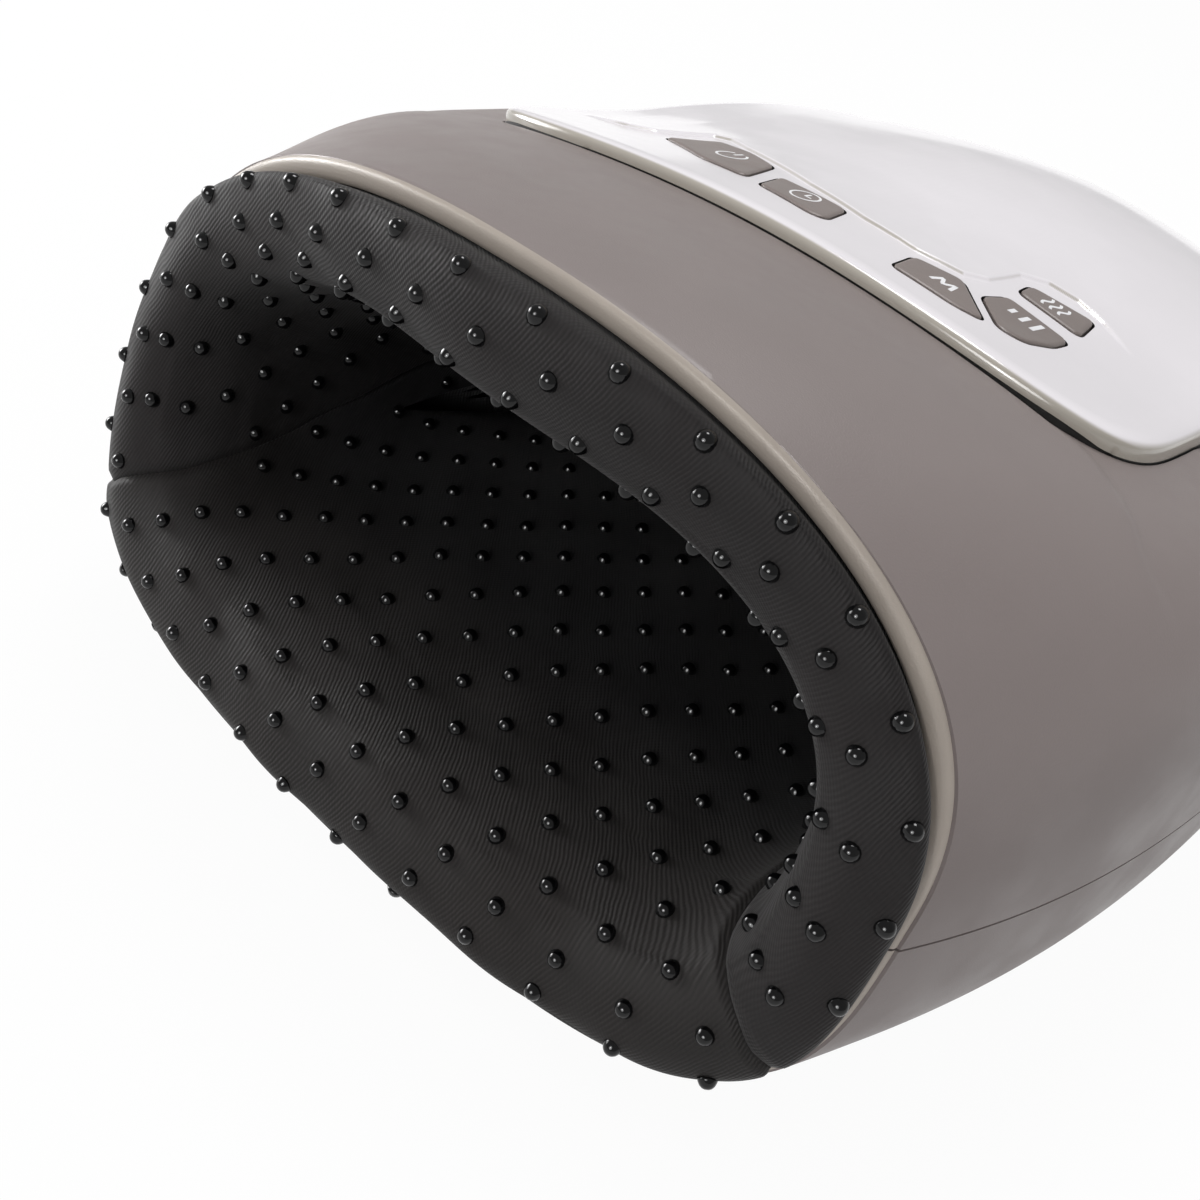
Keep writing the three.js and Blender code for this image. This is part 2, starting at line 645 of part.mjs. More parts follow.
// The pump with its crank, the valves with their plungers, the manifold and the hoses.
function buildPump() {
  const bracket = block(bracketLeft, bracketRight, bracketFront, bracketRear,
    bracketTop - bracketThickness, bracketTop);
  addPart('pump_bracket', bracket.subtract(pocketShell(frameOut + seat)), framePlastic);

  const axisHeight = bracketTop + seat + headSide / 2;
  const motorEnd = motorStart + motorLength;
  const headStart = motorEnd + seat;
  const motor = rod(motorRadius, motorLength, 'x', motorStart, pumpStation, axisHeight);
  const shaftBore = rod(shaftRadius + shaftGap, pumpSpacing + overrun, 'x', motorEnd - pumpSpacing,
    pumpStation, axisHeight, pinSides);
  addPart('pump_motor', motor.subtract(shaftBore), steel);
  const half = headSide / 2;
  const head = block(headStart, headStart + headLength, pumpStation - half, pumpStation + half,
    axisHeight - half, axisHeight + half);
  const cavity = rod(headCavityRadius, headCavityDepth + overrun, 'x', headStart - overrun,
    pumpStation, axisHeight);
  addPart('pump_head', head.subtract(cavity), pumpPlastic);
  const crankStart = headStart + shaftGap;
  const shaft = rod(shaftRadius, pumpSpacing + shaftGap + seat, 'x',
    motorEnd - pumpSpacing + shaftGap, pumpStation, axisHeight, pinSides);
  const disc = rod(crankRadius, crankThickness, 'x', crankStart, pumpStation, axisHeight);
  const pin = rod(crankPinRadius, crankThickness + crankPinReach, 'x', crankStart,
    pumpStation, axisHeight + crankThrow, pinSides);
  addPart('pump_crank', shaft.add(disc).add(pin), switchBlack);

  const valveFront = pumpStation - valveLength / 2;
  const valveRear = valveFront + valveLength;
  ['upper', 'lower'].forEach((side, i) => {
    const x = valveStart + i * (valveWidth + valveSpacing);
    const base = bracketTop + seat;
    const body = block(x, x + valveWidth, valveFront, valveRear, base, base + valveHeight);
    const middle = x + valveWidth / 2;
    const boreBase = base + valveHeight - plungerLength - plungerStroke - 2 * seat;
    const bore = rod(plungerRadius + seat, valveHeight, 'z', middle, pumpStation, boreBase);
    addPart(`valve_${side}`, body.subtract(bore), pumpPlastic);
    addPart(`plunger_${side}`,
      rod(plungerRadius, plungerLength, 'z', middle, pumpStation, boreBase + seat), steel);
  });
  const manifoldFront = valveRear + seat;
  const manifoldEnd = valveStart + 2 * valveWidth + valveSpacing;
  addPart('air_manifold', block(valveStart, manifoldEnd, manifoldFront, manifoldFront + manifoldSide,
    bracketTop + seat, bracketTop + seat + manifoldSide), pumpPlastic);

  const low = bracketTop + seat + manifoldSide / 2;
  const rear = manifoldFront + manifoldSide / 2;
  const headRear = pumpStation + half + seat;
  const outletX = headStart + headLength / 2;
  addPart('hose_pump', hose([
    [outletX, headRear, axisHeight], [outletX, headRear + hoseRadius * 1.5, axisHeight],
    [outletX + hoseRadius * 2, headRear + hoseRadius * 2.6, mix(low, axisHeight, 0.45)],
    [valveStart - hoseRadius * 1.5, rear, low], [valveStart - seat, rear, low],
  ]), hoseClear);
  const upperX = valveStart + valveWidth / 2;
  const highHose = neckTop - hoseRadius;
  addPart('hose_upper', hose([
    [upperX, valveFront - seat, highHose], [upperX, mix(neckStation, valveFront, 0.7), highHose],
    [neckX, mix(neckStation, valveFront, 0.45), highHose], [neckX, neckStation + neckRadius + seat, highHose],
  ]), hoseClear);
  const outerX = bracketRight + hoseSweep;
  const lowHose = neckBottom + hoseRadius;
  addPart('hose_lower', hose([
    [manifoldEnd + seat, pumpStation, neckTop], [manifoldEnd + hoseRadius * 1.5, pumpStation, neckTop],
    [outerX - hoseRadius, pumpStation, neckTop - hoseRadius * 2],
    [outerX, pumpStation, mix(bracketTop, waistHeight, 0.5)],
    [outerX, pumpStation, mix(waistHeight, inletHeight, 0.3)],
    [outerX - hoseRadius, pumpStation - hoseRadius, inletHeight],
    [mix(outerX, neckX, 0.27), mix(pumpStation, neckStation, 0.16), lowHose + hoseRadius * 1.8],
    [mix(outerX, neckX, 0.58), mix(pumpStation, neckStation, 0.45), lowHose + hoseRadius / 2],
    [neckX + hoseRadius, mix(pumpStation, neckStation, 0.7), lowHose],
    [neckX, neckStation + neckRadius + seat, lowHose],
  ]), hoseClear);
}

// Two cells one above the other in a cradle, and the charging inlet.
function buildPower() {
  const heights = [cellLowHeight, cellLowHeight + 2 * cellRadius + holderWall];
  const outer = cellRadius + holderWall;
  let holder = block(-cellLength / 2 - holderWall, cellLength / 2 + holderWall, cellStation - cellRadius / 2,
    cellStation + outer, 0, heights[1] + cellRadius / 2);
  for (const x of [-cellLength / 2 - holderWall - postSide / 2, cellLength / 2 + holderWall + postSide / 2]) {
    holder = holder.add(block(x - postSide / 2 - seat, x + postSide / 2,
      cellStation - postSide, cellStation + postSide, 0, bracketTop - bracketThickness - seat));
  }
  holder = holder.intersect(caseBody(wall + seat));
  heights.forEach((height, i) => {
    const gap = seat / 2;
    holder = holder.subtract(rod(cellRadius + gap, cellLength + 2 * gap, 'x', -cellLength / 2 - gap,
      cellStation, height, cellSides));
    addPart(`battery_cell_${i + 1}`,
      rod(cellRadius, cellLength, 'x', -cellLength / 2, cellStation, height, cellSides), cellBlue);
  });
  addPart('battery_holder', holder.subtract(pocketShell(frameOut + seat)), framePlastic);
  const slot = block(-inletWidth / 2, inletWidth / 2, caseLength - inletSlotDepth, caseLength + overrun,
    inletHeight - inletSlot / 2, inletHeight + inletSlot / 2);
  addPart('charge_socket', inletBlock(0, 0).intersect(caseBody(seat)).subtract(slot), switchBlack);
}

function buildFittings() {
  footPlaces.forEach(([x, y], i) => {
    addPart(`foot_${i + 1}`, rod(footRadius, caseBase + footSink - seat, 'z', x, y, 0), rubber);
  });
  bossPlaces.forEach(([x, y], i) => {
    const head = rod(screwHeadRadius, screwHeadHeight, 'z', x, y, screwSeat - screwHeadHeight - seat,
      screwSides);
    const shank = rod(screwRadius, screwLength, 'z', x, y, screwSeat - seat * 2, screwSides);
    addPart(`case_screw_${i + 1}`, head.add(shank), steel);
  });
}

buildCase();
buildKeys();
buildPocket();
buildPump();
buildPower();
buildFittings();

// The footprint's middle is the origin.
const box = new THREE.Box3().setFromObject(massager);
massager.position.y = -(box.min.y + box.max.y) / 2;

export default massager;
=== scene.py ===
# %% [markdown]
# # Hand compression massager
# A padded tunnel takes one hand, in a two-part case with a glossy cover and five keys on top.
# The script dresses the packed CAD model. Shapes are worked out in millimetres from the lower lip
# of the mouth, with Y into the tunnel, and `in_row` turns them into metres of the shared frame.

# %% Load the frame
import math
import bpy
import bmesh
import numpy as np
from mathutils import Matrix, Vector
from mathutils.bvhtree import BVHTree


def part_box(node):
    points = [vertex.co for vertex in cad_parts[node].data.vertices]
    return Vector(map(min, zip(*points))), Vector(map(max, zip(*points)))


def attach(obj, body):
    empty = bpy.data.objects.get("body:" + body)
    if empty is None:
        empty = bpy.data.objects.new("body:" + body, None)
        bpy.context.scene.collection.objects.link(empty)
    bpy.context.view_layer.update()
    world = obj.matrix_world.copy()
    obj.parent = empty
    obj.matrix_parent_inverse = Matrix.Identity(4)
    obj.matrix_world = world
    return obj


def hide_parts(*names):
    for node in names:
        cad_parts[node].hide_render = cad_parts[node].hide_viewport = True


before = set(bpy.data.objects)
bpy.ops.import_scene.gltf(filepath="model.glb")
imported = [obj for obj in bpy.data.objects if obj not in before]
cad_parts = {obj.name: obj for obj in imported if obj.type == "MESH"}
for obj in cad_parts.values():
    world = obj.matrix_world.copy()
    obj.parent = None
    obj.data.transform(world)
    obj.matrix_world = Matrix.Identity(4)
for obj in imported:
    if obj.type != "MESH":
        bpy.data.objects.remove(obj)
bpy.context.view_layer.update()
foot_low, foot_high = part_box("foot_1")
FOOT_STATION = 0.040
row_shift = (foot_low[1] + foot_high[1]) / 2 - FOOT_STATION
print("the lip of the mouth is at y =", round(row_shift, 4))


def in_row(points):
    """Millimetres from the mouth's lower lip to metres in the shared frame."""
    placed = np.array(points, dtype=float) / 1000
    placed[..., 1] += row_shift
    return placed


def ramp(value, start, width):
    """0 before the start, 1 after the width, straight between."""
    return np.clip((value - start) / width, 0, 1)


def eased(share):
    """The same share with soft ends."""
    return share * share * (3 - 2 * share)


def walked_along(points):
    """The way walked from the first point to each point of a line."""
    return np.concatenate([[0], np.cumsum(np.linalg.norm(np.diff(points, axis=0), axis=1))])


print("helpers: in_row, ramp, eased, walked_along")


# %% [markdown]
# ## Meshes
# A moulded case is all long, slow curves with clean cuts in it. It could be modelled by hand from a
# box, but rows of points worked out by a formula keep every curve exact and easy to change, so each
# piece starts that way. `skin_rows` joins rows into quads, and `carve` cuts, joins or trims one
# closed piece with another and keeps only the result.

# %% Mesh helpers
def put_in_scene(name, data):
    """A new object in the scene."""
    item = bpy.data.objects.new(name, data)
    bpy.context.collection.objects.link(item)
    return item


def piece_from(name, points, faces, smooth=True):
    """A new object from points in millimetres and faces."""
    mesh = bpy.data.meshes.new(name)
    mesh.from_pydata([tuple(p) for p in in_row(points)], [], [tuple(f) for f in faces])
    mesh.validate()
    bm = bmesh.new()
    bm.from_mesh(mesh)
    bmesh.ops.recalc_face_normals(bm, faces=bm.faces)
    bm.to_mesh(mesh)
    bm.free()
    if smooth:
        mesh.shade_smooth()
    return put_in_scene(name, mesh)


def skin_rows(rows, around=True, loop=False):
    """Points and faces of a closed skin: around joins each row's ends, loop the last row to the first."""
    rows = np.asarray(rows, dtype=float)
    count, width = rows.shape[:2]
    points = list(rows.reshape(-1, 3))
    faces = []
    for row in range(count if loop else count - 1):
        after = (row + 1) % count
        for i in range(width if around else width - 1):
            j = (i + 1) % width
            faces.append((row * width + i, row * width + j, after * width + j, after * width + i))
    if around and not loop:
        for row in (0, count - 1):
            points.append(rows[row].mean(axis=0))
            middle = len(points) - 1
            for i in range(width):
                faces.append((middle, row * width + i, row * width + (i + 1) % width))
    if loop and not around:
        for i in (0, width - 1):
            points.append(rows[:, i].mean(axis=0))
            middle = len(points) - 1
            for row in range(count):
                faces.append((middle, row * width + i, ((row + 1) % count) * width + i))
    return points, faces


def carve(piece, tool, operation):
    """Cut ('DIFFERENCE'), join ('UNION') or trim ('INTERSECT') a closed piece with a tool."""
    step = piece.modifiers.new("carve", "BOOLEAN")
    step.operation = operation
    step.solver = "MANIFOLD"
    step.object = tool
    graph = bpy.context.evaluated_depsgraph_get()
    carved = bpy.data.meshes.new_from_object(piece.evaluated_get(graph))
    piece.modifiers.clear()
    piece.data = carved
    bpy.data.objects.remove(tool)
    return piece


def crisp(piece, degrees=35):
    """Smooth shading with hard edges where faces meet at more than the angle."""
    piece.data.shade_smooth()
    piece.data.set_sharp_from_angle(angle=math.radians(degrees))
    return piece


print("mesh helpers: put_in_scene, piece_from, skin_rows, carve, crisp")

# %% [markdown]
# Cuts need simple tools: an upright block over any outline, a round rod and a plain block. Where one
# piece shows two tones, such as the shell and its lighter rim, its faces use two material slots.

# %% Tools for cutting
def prism(name, outline, low, high):
    """An upright block over an outline."""
    rows = [[(x, y, z) for x, y in outline] for z in (low, high)]
    return piece_from(name, *skin_rows(rows), smooth=False)


def rod(name, radius, x, y, low, high, sides=40):
    """An upright round rod."""
    outline = [(x + radius * math.cos(a), y + radius * math.sin(a))
               for a in np.linspace(0, 2 * math.pi, sides, endpoint=False)]
    return prism(name, outline, low, high)


def two_slots(piece, is_second):
    """Give a piece two material slots; the faces that the test picks use the second."""
    piece.data.materials.append(None)
    piece.data.materials.append(None)
    for face in piece.data.polygons:
        face.material_index = 1 if is_second(face) else 0


def block(name, low, high):
    """A block between its lowest and highest corners."""
    outline = [(low[0], low[1]), (high[0], low[1]), (high[0], high[1]), (low[0], high[1])]
    return prism(name, outline, low[2], high[2])


print("tools: prism, rod, block, two_slots")


# %% [markdown]
# ## The camera
# The photograph looks into the mouth from the front, the right and above, and the camera is rolled,
# so the tunnel runs up across the frame. A camera could be placed by eye, but here its values come
# from fitting one projection to the object's outlines, so that every edge can be compared.

# %% Camera
CAMERA_AZIMUTH = math.radians(33.676)
CAMERA_ELEVATION = math.radians(35.899)
CAMERA_ROLL = math.radians(15.55)
CAMERA_FOCUS_PIXELS = 1337.836
CAMERA_DISTANCE = 191.953
CAMERA_TARGET = np.array([12.38, 33.3, 42.429])
PHOTO_PIXELS = 1200
SENSOR_WIDTH = 36

back = np.array([math.sin(CAMERA_AZIMUTH) * math.cos(CAMERA_ELEVATION),
                 -math.cos(CAMERA_AZIMUTH) * math.cos(CAMERA_ELEVATION),
                 math.sin(CAMERA_ELEVATION)])
level = np.array([math.cos(CAMERA_AZIMUTH), math.sin(CAMERA_AZIMUTH), 0.0])
upright = np.cross(back, level)
across = math.cos(CAMERA_ROLL) * level + math.sin(CAMERA_ROLL) * upright
upward = -math.sin(CAMERA_ROLL) * level + math.cos(CAMERA_ROLL) * upright

lens = bpy.data.cameras.new("camera")
lens.sensor_width = SENSOR_WIDTH
lens.sensor_fit = "HORIZONTAL"
lens.lens = CAMERA_FOCUS_PIXELS / PHOTO_PIXELS * SENSOR_WIDTH
lens.clip_start = 0.01
lens.clip_end = 30
camera = put_in_scene("camera", lens)
place = in_row(CAMERA_TARGET + back * CAMERA_DISTANCE)
axes = [(across[i], upward[i], back[i], place[i]) for i in range(3)]
camera.matrix_world = Matrix((*axes, (0, 0, 0, 1)))
bpy.context.scene.camera = camera
print("camera at", [round(v, 3) for v in place])

# %% [markdown]
# ## The form of the case
# Each section across the case is two superellipses that meet at the waist. The mouth leans back and
# bellies out, the sides widen to the middle, the top falls to a boxier shoulder with a soft crown,
# and the rear closes like the back of a computer mouse. One formula gives every section, because
# the wall, the cover and the keys all have to follow the same surface.

# %% Sizes of the case
CASE_LENGTH = 217.199
CASE_HALF_WIDTH = 92.029
CASE_BASE = 3.8
WAIST_HEIGHT = 44.399
WALL = 3.0
MOUTH_HALF_WIDTH = 75.2
MOUTH_TOP = 94.375
MOUTH_LEAN = 14.636
LEAN_CURVE = 1.217
MOUTH_BOW = 7.209
SHOULDER_TOP = 78.092
CROWN_HEIGHT = 7.759
CROWN_POWER = 3.641
PARTING_HEIGHT = 39.972
PARTING_GAP = 0.35
COVER_HALF_WIDTH = 61.655
WIDEST_SHARE = 0.531
WIDENING_POWER = 2.215
MOUTH_TOP_POWER = 2.248
MOUTH_BOTTOM_POWER = 3.947
BODY_TOP_POWER = 4.849
BODY_BOTTOM_POWER = 4.296
REAR_PLAN_POWER = 2.069
REAR_TOP_POWER = 3.107
REAR_BASE_POWER = 3.6


print("case:", CASE_LENGTH, "mm long and", 2 * CASE_HALF_WIDTH, "mm wide")

# %% [markdown]
# One row of points goes round each section. The plane of the mouth leans and bows, so the first rows
# follow it, and the rows behind them straighten up by and by.

# %% Sections of the case
def mouth_place(x, z):
    """How far back the plane of the mouth lies at a place across it."""
    rise = np.clip((z - CASE_BASE) / (MOUTH_TOP - CASE_BASE), 0, 1)
    side = np.clip(np.abs(x) / MOUTH_HALF_WIDTH, 0, 1)
    return MOUTH_LEAN * ((1 + LEAN_CURVE) * rise - LEAN_CURVE * rise ** 2) + MOUTH_BOW * side ** 2


def ring_of(angles, half_width, top, waist, bottom, top_power, bottom_power, crown=0.0):
    """Points x, z of one section at the given angles."""
    c, s = np.cos(angles), np.sin(angles)
    exponent = np.where(s >= 0, top_power, bottom_power)
    radius = (np.abs(c) ** exponent + np.abs(s) ** exponent) ** (-1 / exponent)
    x = half_width * radius * c
    z = waist + np.where(s >= 0, top - waist, waist - bottom) * radius * s
    z = z + np.where(s > 0, crown * np.clip(1 - (radius * c) ** 2, 0, 1) ** CROWN_POWER, 0)
    return x, z


def case_row(share, angles, inset):
    """One row of the case's skin at a share of its length, drawn in by an inset."""
    run = np.clip(share / WIDEST_SHARE, 0, 1)
    past = np.clip((share - WIDEST_SHARE) / (1 - WIDEST_SHARE), 0, 1)
    widening = 1 - (1 - run) ** WIDENING_POWER
    falling = eased(run)
    top = MOUTH_TOP + (SHOULDER_TOP - MOUTH_TOP) * falling
    half = MOUTH_HALF_WIDTH + (CASE_HALF_WIDTH - MOUTH_HALF_WIDTH) * widening
    plan, above, below = ((1 - past ** power) ** (1 / power)
                          for power in (REAR_PLAN_POWER, REAR_TOP_POWER, REAR_BASE_POWER))
    x, z = ring_of(
        angles, (half - inset) * plan, WAIST_HEIGHT + (top - WAIST_HEIGHT - inset) * above, WAIST_HEIGHT,
        WAIST_HEIGHT - (WAIST_HEIGHT - CASE_BASE - inset) * below,
        MOUTH_TOP_POWER + (BODY_TOP_POWER - MOUTH_TOP_POWER) * falling,
        MOUTH_BOTTOM_POWER + (BODY_BOTTOM_POWER - MOUTH_BOTTOM_POWER) * widening,
        CROWN_HEIGHT * falling * math.sqrt(1 - past ** 2))
    follow = max(1 - share / WIDEST_SHARE, 0) ** 2
    y = share * (CASE_LENGTH - inset) + follow * mouth_place(x, z)
    return np.stack([x, y, z], axis=-1)


FINE = 2
RING = np.linspace(0, 2 * math.pi, 180 * FINE, endpoint=False)
REAR_START, REAR_SPAN = 0.9, 0.0995
rear_shares = REAR_START + REAR_SPAN * np.sin(np.linspace(0.02, 1, 26 * FINE) * math.pi / 2)
SHARES = np.concatenate([np.linspace(0.006, REAR_START, 75 * FINE), rear_shares])
print("case rows:", len(SHARES), "of", len(RING), "points")


def case_solid(name, inset):
    """The whole case as one closed solid, drawn in by an inset."""
    rows = [case_row(0, RING, inset)] + [case_row(share, RING, inset) for share in SHARES]
    return piece_from(name, *skin_rows(rows))


# %% [markdown]
# The wall is one closed skin: in along the inside, round the rim, and out along the outside. A real
# rim is never a sharp edge, so nine rows round it. Behind the crease of the shoulder, and beside
# the cover, the outside lies a little lower, which leaves the cover's edge free.

# %% Wall and rim
# Inset and depth of each row round the rim, from the inside to the outside.
RIM_PROFILE = [(3.0, 9.0), (3.0, 0.9), (2.86, 0.4), (2.5, 0.12), (2.0, 0.0), (1.1, 0.0), (0.55, 0.1),
               (0.2, 0.4), (0.04, 0.85)]
CREASE_X = [0, 20, 36, 48, 56, 63, 72]
CREASE_Y = [62.9, 63.0, 63.2, 63.8, 64.5, 61, 54]
INNER_WALL_START = 12
SUNK_BESIDE_COVER = 1.9
SUNK_BEHIND_CREASE = 0.8


def sink_behind_crease(points):
    """Rows of the outside, sunk behind the crease and, from y 96 to 190, beside the cover."""
    x, y, z = np.abs(points[..., 0]), points[..., 1], points[..., 2]
    behind = eased(ramp(y - np.interp(x, CREASE_X, CREASE_Y), 0.7, 1.0))
    behind = behind * ramp(-x, -80, 16) * ramp(z, 62, 10) * ramp(-y, -220, 150)
    beside = eased(ramp(x, COVER_HALF_WIDTH - 7.5, 9)) * ramp(-x, -92, 10)
    beside = beside * ramp(y, 96, 14) * ramp(-y, -190, 40) * ramp(z, 55, 10)
    sunk = points.copy()
    sunk[..., 2] -= SUNK_BESIDE_COVER * beside + SUNK_BEHIND_CREASE * behind
    return sunk


def case_skin(name):
    """The wall of the case as one closed solid with a rounded rim."""
    rows = [case_row(share, RING, WALL) for share in SHARES[::-1]]
    rows = [row for row in rows if row[:, 1].min() > INNER_WALL_START]
    rim_start = len(rows)
    rows += [case_row(0, RING, inset) + (0, deep, 0) for inset, deep in RIM_PROFILE]
    rim_end = len(rows)
    rows += [sink_behind_crease(case_row(share, RING, 0)) for share in SHARES]
    skin = piece_from(name, *skin_rows(rows))
    width = len(RING)
    two_slots(skin, lambda face: rim_start <= face.vertices[0] // width < rim_end - 1)
    return skin


case_form = case_solid("case_form", 0.0)
case_tree = BVHTree.FromObject(case_form, bpy.context.evaluated_depsgraph_get())
bpy.data.objects.remove(case_form)
ABOVE_CASE = 140


def case_height(x, y):
    """Height of the case's top above the table, in millimetres."""
    hit = case_tree.ray_cast(Vector(in_row([x, y, ABOVE_CASE])), Vector((0, 0, -1)))[0]
    return hit.z * 1000 if hit else WAIST_HEIGHT


print("the case is", round(case_height(0, 110), 1), "mm high at the middle of the cover")

# %% [markdown]
# ## Upper and lower shell
# The case's wall is split along the parting line, as the two mouldings of the real case are. The
# upper half gets a seat for the cover and holes for the keys, the lower half gets screw bosses, foot
# recesses and the opening for the charge socket. All of them are cut from one skin, so that the two
# halves meet with an even gap.

# %% Cover outline
COVER_FRONT = 63.852
COVER_MIDDLE = 96.882
COVER_REAR_REACH = 91.1
COVER_PROUD = 2.3
COVER_FRONT_POWER, COVER_REAR_POWER = 4.905, 3.2


def signed_power(value, exponent):
    """A power that keeps the sign."""
    return np.sign(value) * np.abs(value) ** exponent


def even_line(points, count, closed=False):
    """The same line, or closed outline, with evenly spaced points."""
    line = np.array(points, dtype=float)
    if closed:
        line = np.vstack([line, line[:1]])
    walked = walked_along(line)
    marks = np.linspace(0, walked[-1], count, endpoint=not closed)
    return np.stack([np.interp(marks, walked, line[:, k]) for k in (0, 1)], axis=-1)


angles = np.linspace(0, 2 * math.pi, 360, endpoint=False)
c, s = np.cos(angles), np.sin(angles)
exponent = 2 / np.where(s < 0, COVER_FRONT_POWER, COVER_REAR_POWER)
reach = np.where(s < 0, COVER_MIDDLE - COVER_FRONT, COVER_REAR_REACH)
cover_outline = np.stack([COVER_HALF_WIDTH * signed_power(c, exponent),
                          COVER_MIDDLE + reach * signed_power(s, exponent)], axis=-1)
print("cover outline:", len(cover_outline), "points")

# %% [markdown]
# A key is read off as a few corners in plan, which are then rounded. Real keys move in holes a
# little larger than themselves, so each hole grows from the outline of its key.

# %% Key outlines


def outward(outline):
    """Unit normals that point out of a closed outline."""
    along = np.roll(outline, -1, axis=0) - np.roll(outline, 1, axis=0)
    normal = np.stack([along[:, 1], -along[:, 0]], axis=-1)
    normal /= np.maximum(np.linalg.norm(normal, axis=1, keepdims=True), 1e-9)
    x, y = outline[:, 0], outline[:, 1]
    area = np.sum(x * np.roll(y, -1) - np.roll(x, -1) * y)
    return normal if area > 0 else -normal


def rounded(corners, radius, count=96):
    """A closed outline with its corners rounded."""
    corners = np.array(corners, dtype=float)
    path = []
    for i, corner in enumerate(corners):
        ends = []
        for end in (corners[i - 1], corners[(i + 1) % len(corners)]):
            span = np.linalg.norm(end - corner)
            ends.append(corner + (end - corner) / span * min(radius, span * 0.45))
        for t in np.linspace(0, 1, 9):
            path.append((1 - t) ** 2 * ends[0] + 2 * t * (1 - t) * corner + t ** 2 * ends[1])
    return even_line(path, count, closed=True)


KEY_CORNERS = {
    "power": [(-35.1, 86.3), (-32.0, 97.9), (-24.0, 96.4), (-16.8, 92.3), (-12.8, 78.2), (-21.7, 78.9)],
    "timer": [(-9.3, 77.2), (-11.7, 86.9), (1.9, 85.8), (4.1, 76.4), (1.9, 75.1)],
    "mode": [(18.2, 73.1), (16.6, 82.5), (23.8, 85.9), (33.0, 75.6), (28.7, 73.5)],
    "intensity": [(27.8, 84.8), (28.9, 91.6), (40.3, 91.0), (40.4, 84.8), (38.4, 78.5), (34.8, 77.0)],
    "heat": [(28.3, 96.6), (27.7, 102.1), (38.1, 105.6), (39.7, 96.4)],
}
KEY_GAP = 0.42
KEY_ROUNDING = 1.6
HOLE_LOW, HOLE_HIGH = 60, 120
key_outlines = {name: rounded(corners, KEY_ROUNDING) for name, corners in KEY_CORNERS.items()}


def key_holes():
    """A tool for each key's hole, a little larger than the key."""
    return [prism("hole", outline + outward(outline) * KEY_GAP, HOLE_LOW, HOLE_HIGH)
            for outline in key_outlines.values()]


print("keys:", ", ".join(key_outlines))

# %% [markdown]
# The upper shell is trimmed at the parting line. The seat is sunk a little way into it, so that the
# cover lies on a floor of plastic, and the key holes go right through.

# %% Upper shell
SEAT_GAP = 0.3
SEAT_DEPTH = 1.5
SEAT_LOW = 55
# The cutting blocks reach well past the case on all sides.
split = PARTING_HEIGHT + PARTING_GAP / 2
upper_shell = case_skin("shell_upper")
carve(upper_shell, block("above", (-120, -60, split), (120, 300, 140)), "INTERSECT")
cover_seat = prism("seat", cover_outline + outward(cover_outline) * SEAT_GAP, SEAT_LOW, HOLE_HIGH)
carve(cover_seat, case_solid("seat_floor", SEAT_DEPTH), "DIFFERENCE")
carve(upper_shell, cover_seat, "DIFFERENCE")
for hole in key_holes():
    carve(upper_shell, hole, "DIFFERENCE")
crisp(upper_shell)
print("upper shell:", len(upper_shell.data.polygons), "faces")

# %% [markdown]
# The lower shell carries everything. Its bosses are joined on first and drilled afterwards, so that
# each hole runs through the boss and the floor alike.

# %% Lower shell
FOOT_PLACES = [(x, y) for y in (40, 150) for x in (-45, 45)]
BOSS_PLACES = [(x * side, y) for x, y in ((75.2, 62), (60, 152)) for side in (-1, 1)]
INLET_LOW, INLET_HIGH = (-6.2, 206.6, 22.7), (6.2, 230, 29.3)
BOSS_RADIUS, SHANK_RADIUS, HEAD_RADIUS, FOOT_RADIUS = 4.4, 1.8, 3.2, 7.3
split = PARTING_HEIGHT - PARTING_GAP / 2
lower_shell = case_skin("shell_lower")
carve(lower_shell, block("below", (-120, -60, -10), (120, 300, split)), "INTERSECT")
for x, y in BOSS_PLACES:
    boss = rod("boss", BOSS_RADIUS, x, y, 0, PARTING_HEIGHT - 0.3)
    carve(boss, case_solid("boss_limit", 1.5), "INTERSECT")
    carve(lower_shell, boss, "UNION")
    carve(lower_shell, rod("shank_hole", SHANK_RADIUS, x, y, -1, 60), "DIFFERENCE")
    carve(lower_shell, rod("head_hole", HEAD_RADIUS, x, y, -1, 34.8), "DIFFERENCE")
for x, y in FOOT_PLACES:
    carve(lower_shell, rod("foot_recess", FOOT_RADIUS, x, y, -1, 5.4, 64), "DIFFERENCE")
carve(lower_shell, block("inlet", INLET_LOW, INLET_HIGH), "DIFFERENCE")
crisp(lower_shell)
print("lower shell:", len(lower_shell.data.polygons), "faces")

# %% [markdown]
# ## The cover
# The cover is a thin glossy plate that stands proud of the shell. Its edge rolls over into a short
# wall, which is undercut at the front so that a dark gap shows below it, and behind the keys it
# steps up to a slightly raised field. Its rows are grown or shrunk from one outline and laid on the
# case's height, so that the plate has the same crown as the shell below it.

# %% The step in the cover
STEP_LINE = [
    (-54, 86), (-44, 86.5), (-39.7, 89.5), (-37.6, 97), (-36.1, 101.6), (-33, 102.4), (-27.1, 98.9),
    (-8.2, 90.3), (4.8, 86.4), (15.2, 85.8), (22.3, 88.5), (24.6, 93), (25.0, 103.3), (28.3, 107.6),
    (33.3, 108.8), (38.6, 107.7), (46, 104)]
STEP_RISE, STEP_WIDTH, STEP_FADE = 0.55, 0.9, 26
print("step line:", len(STEP_LINE), "points")


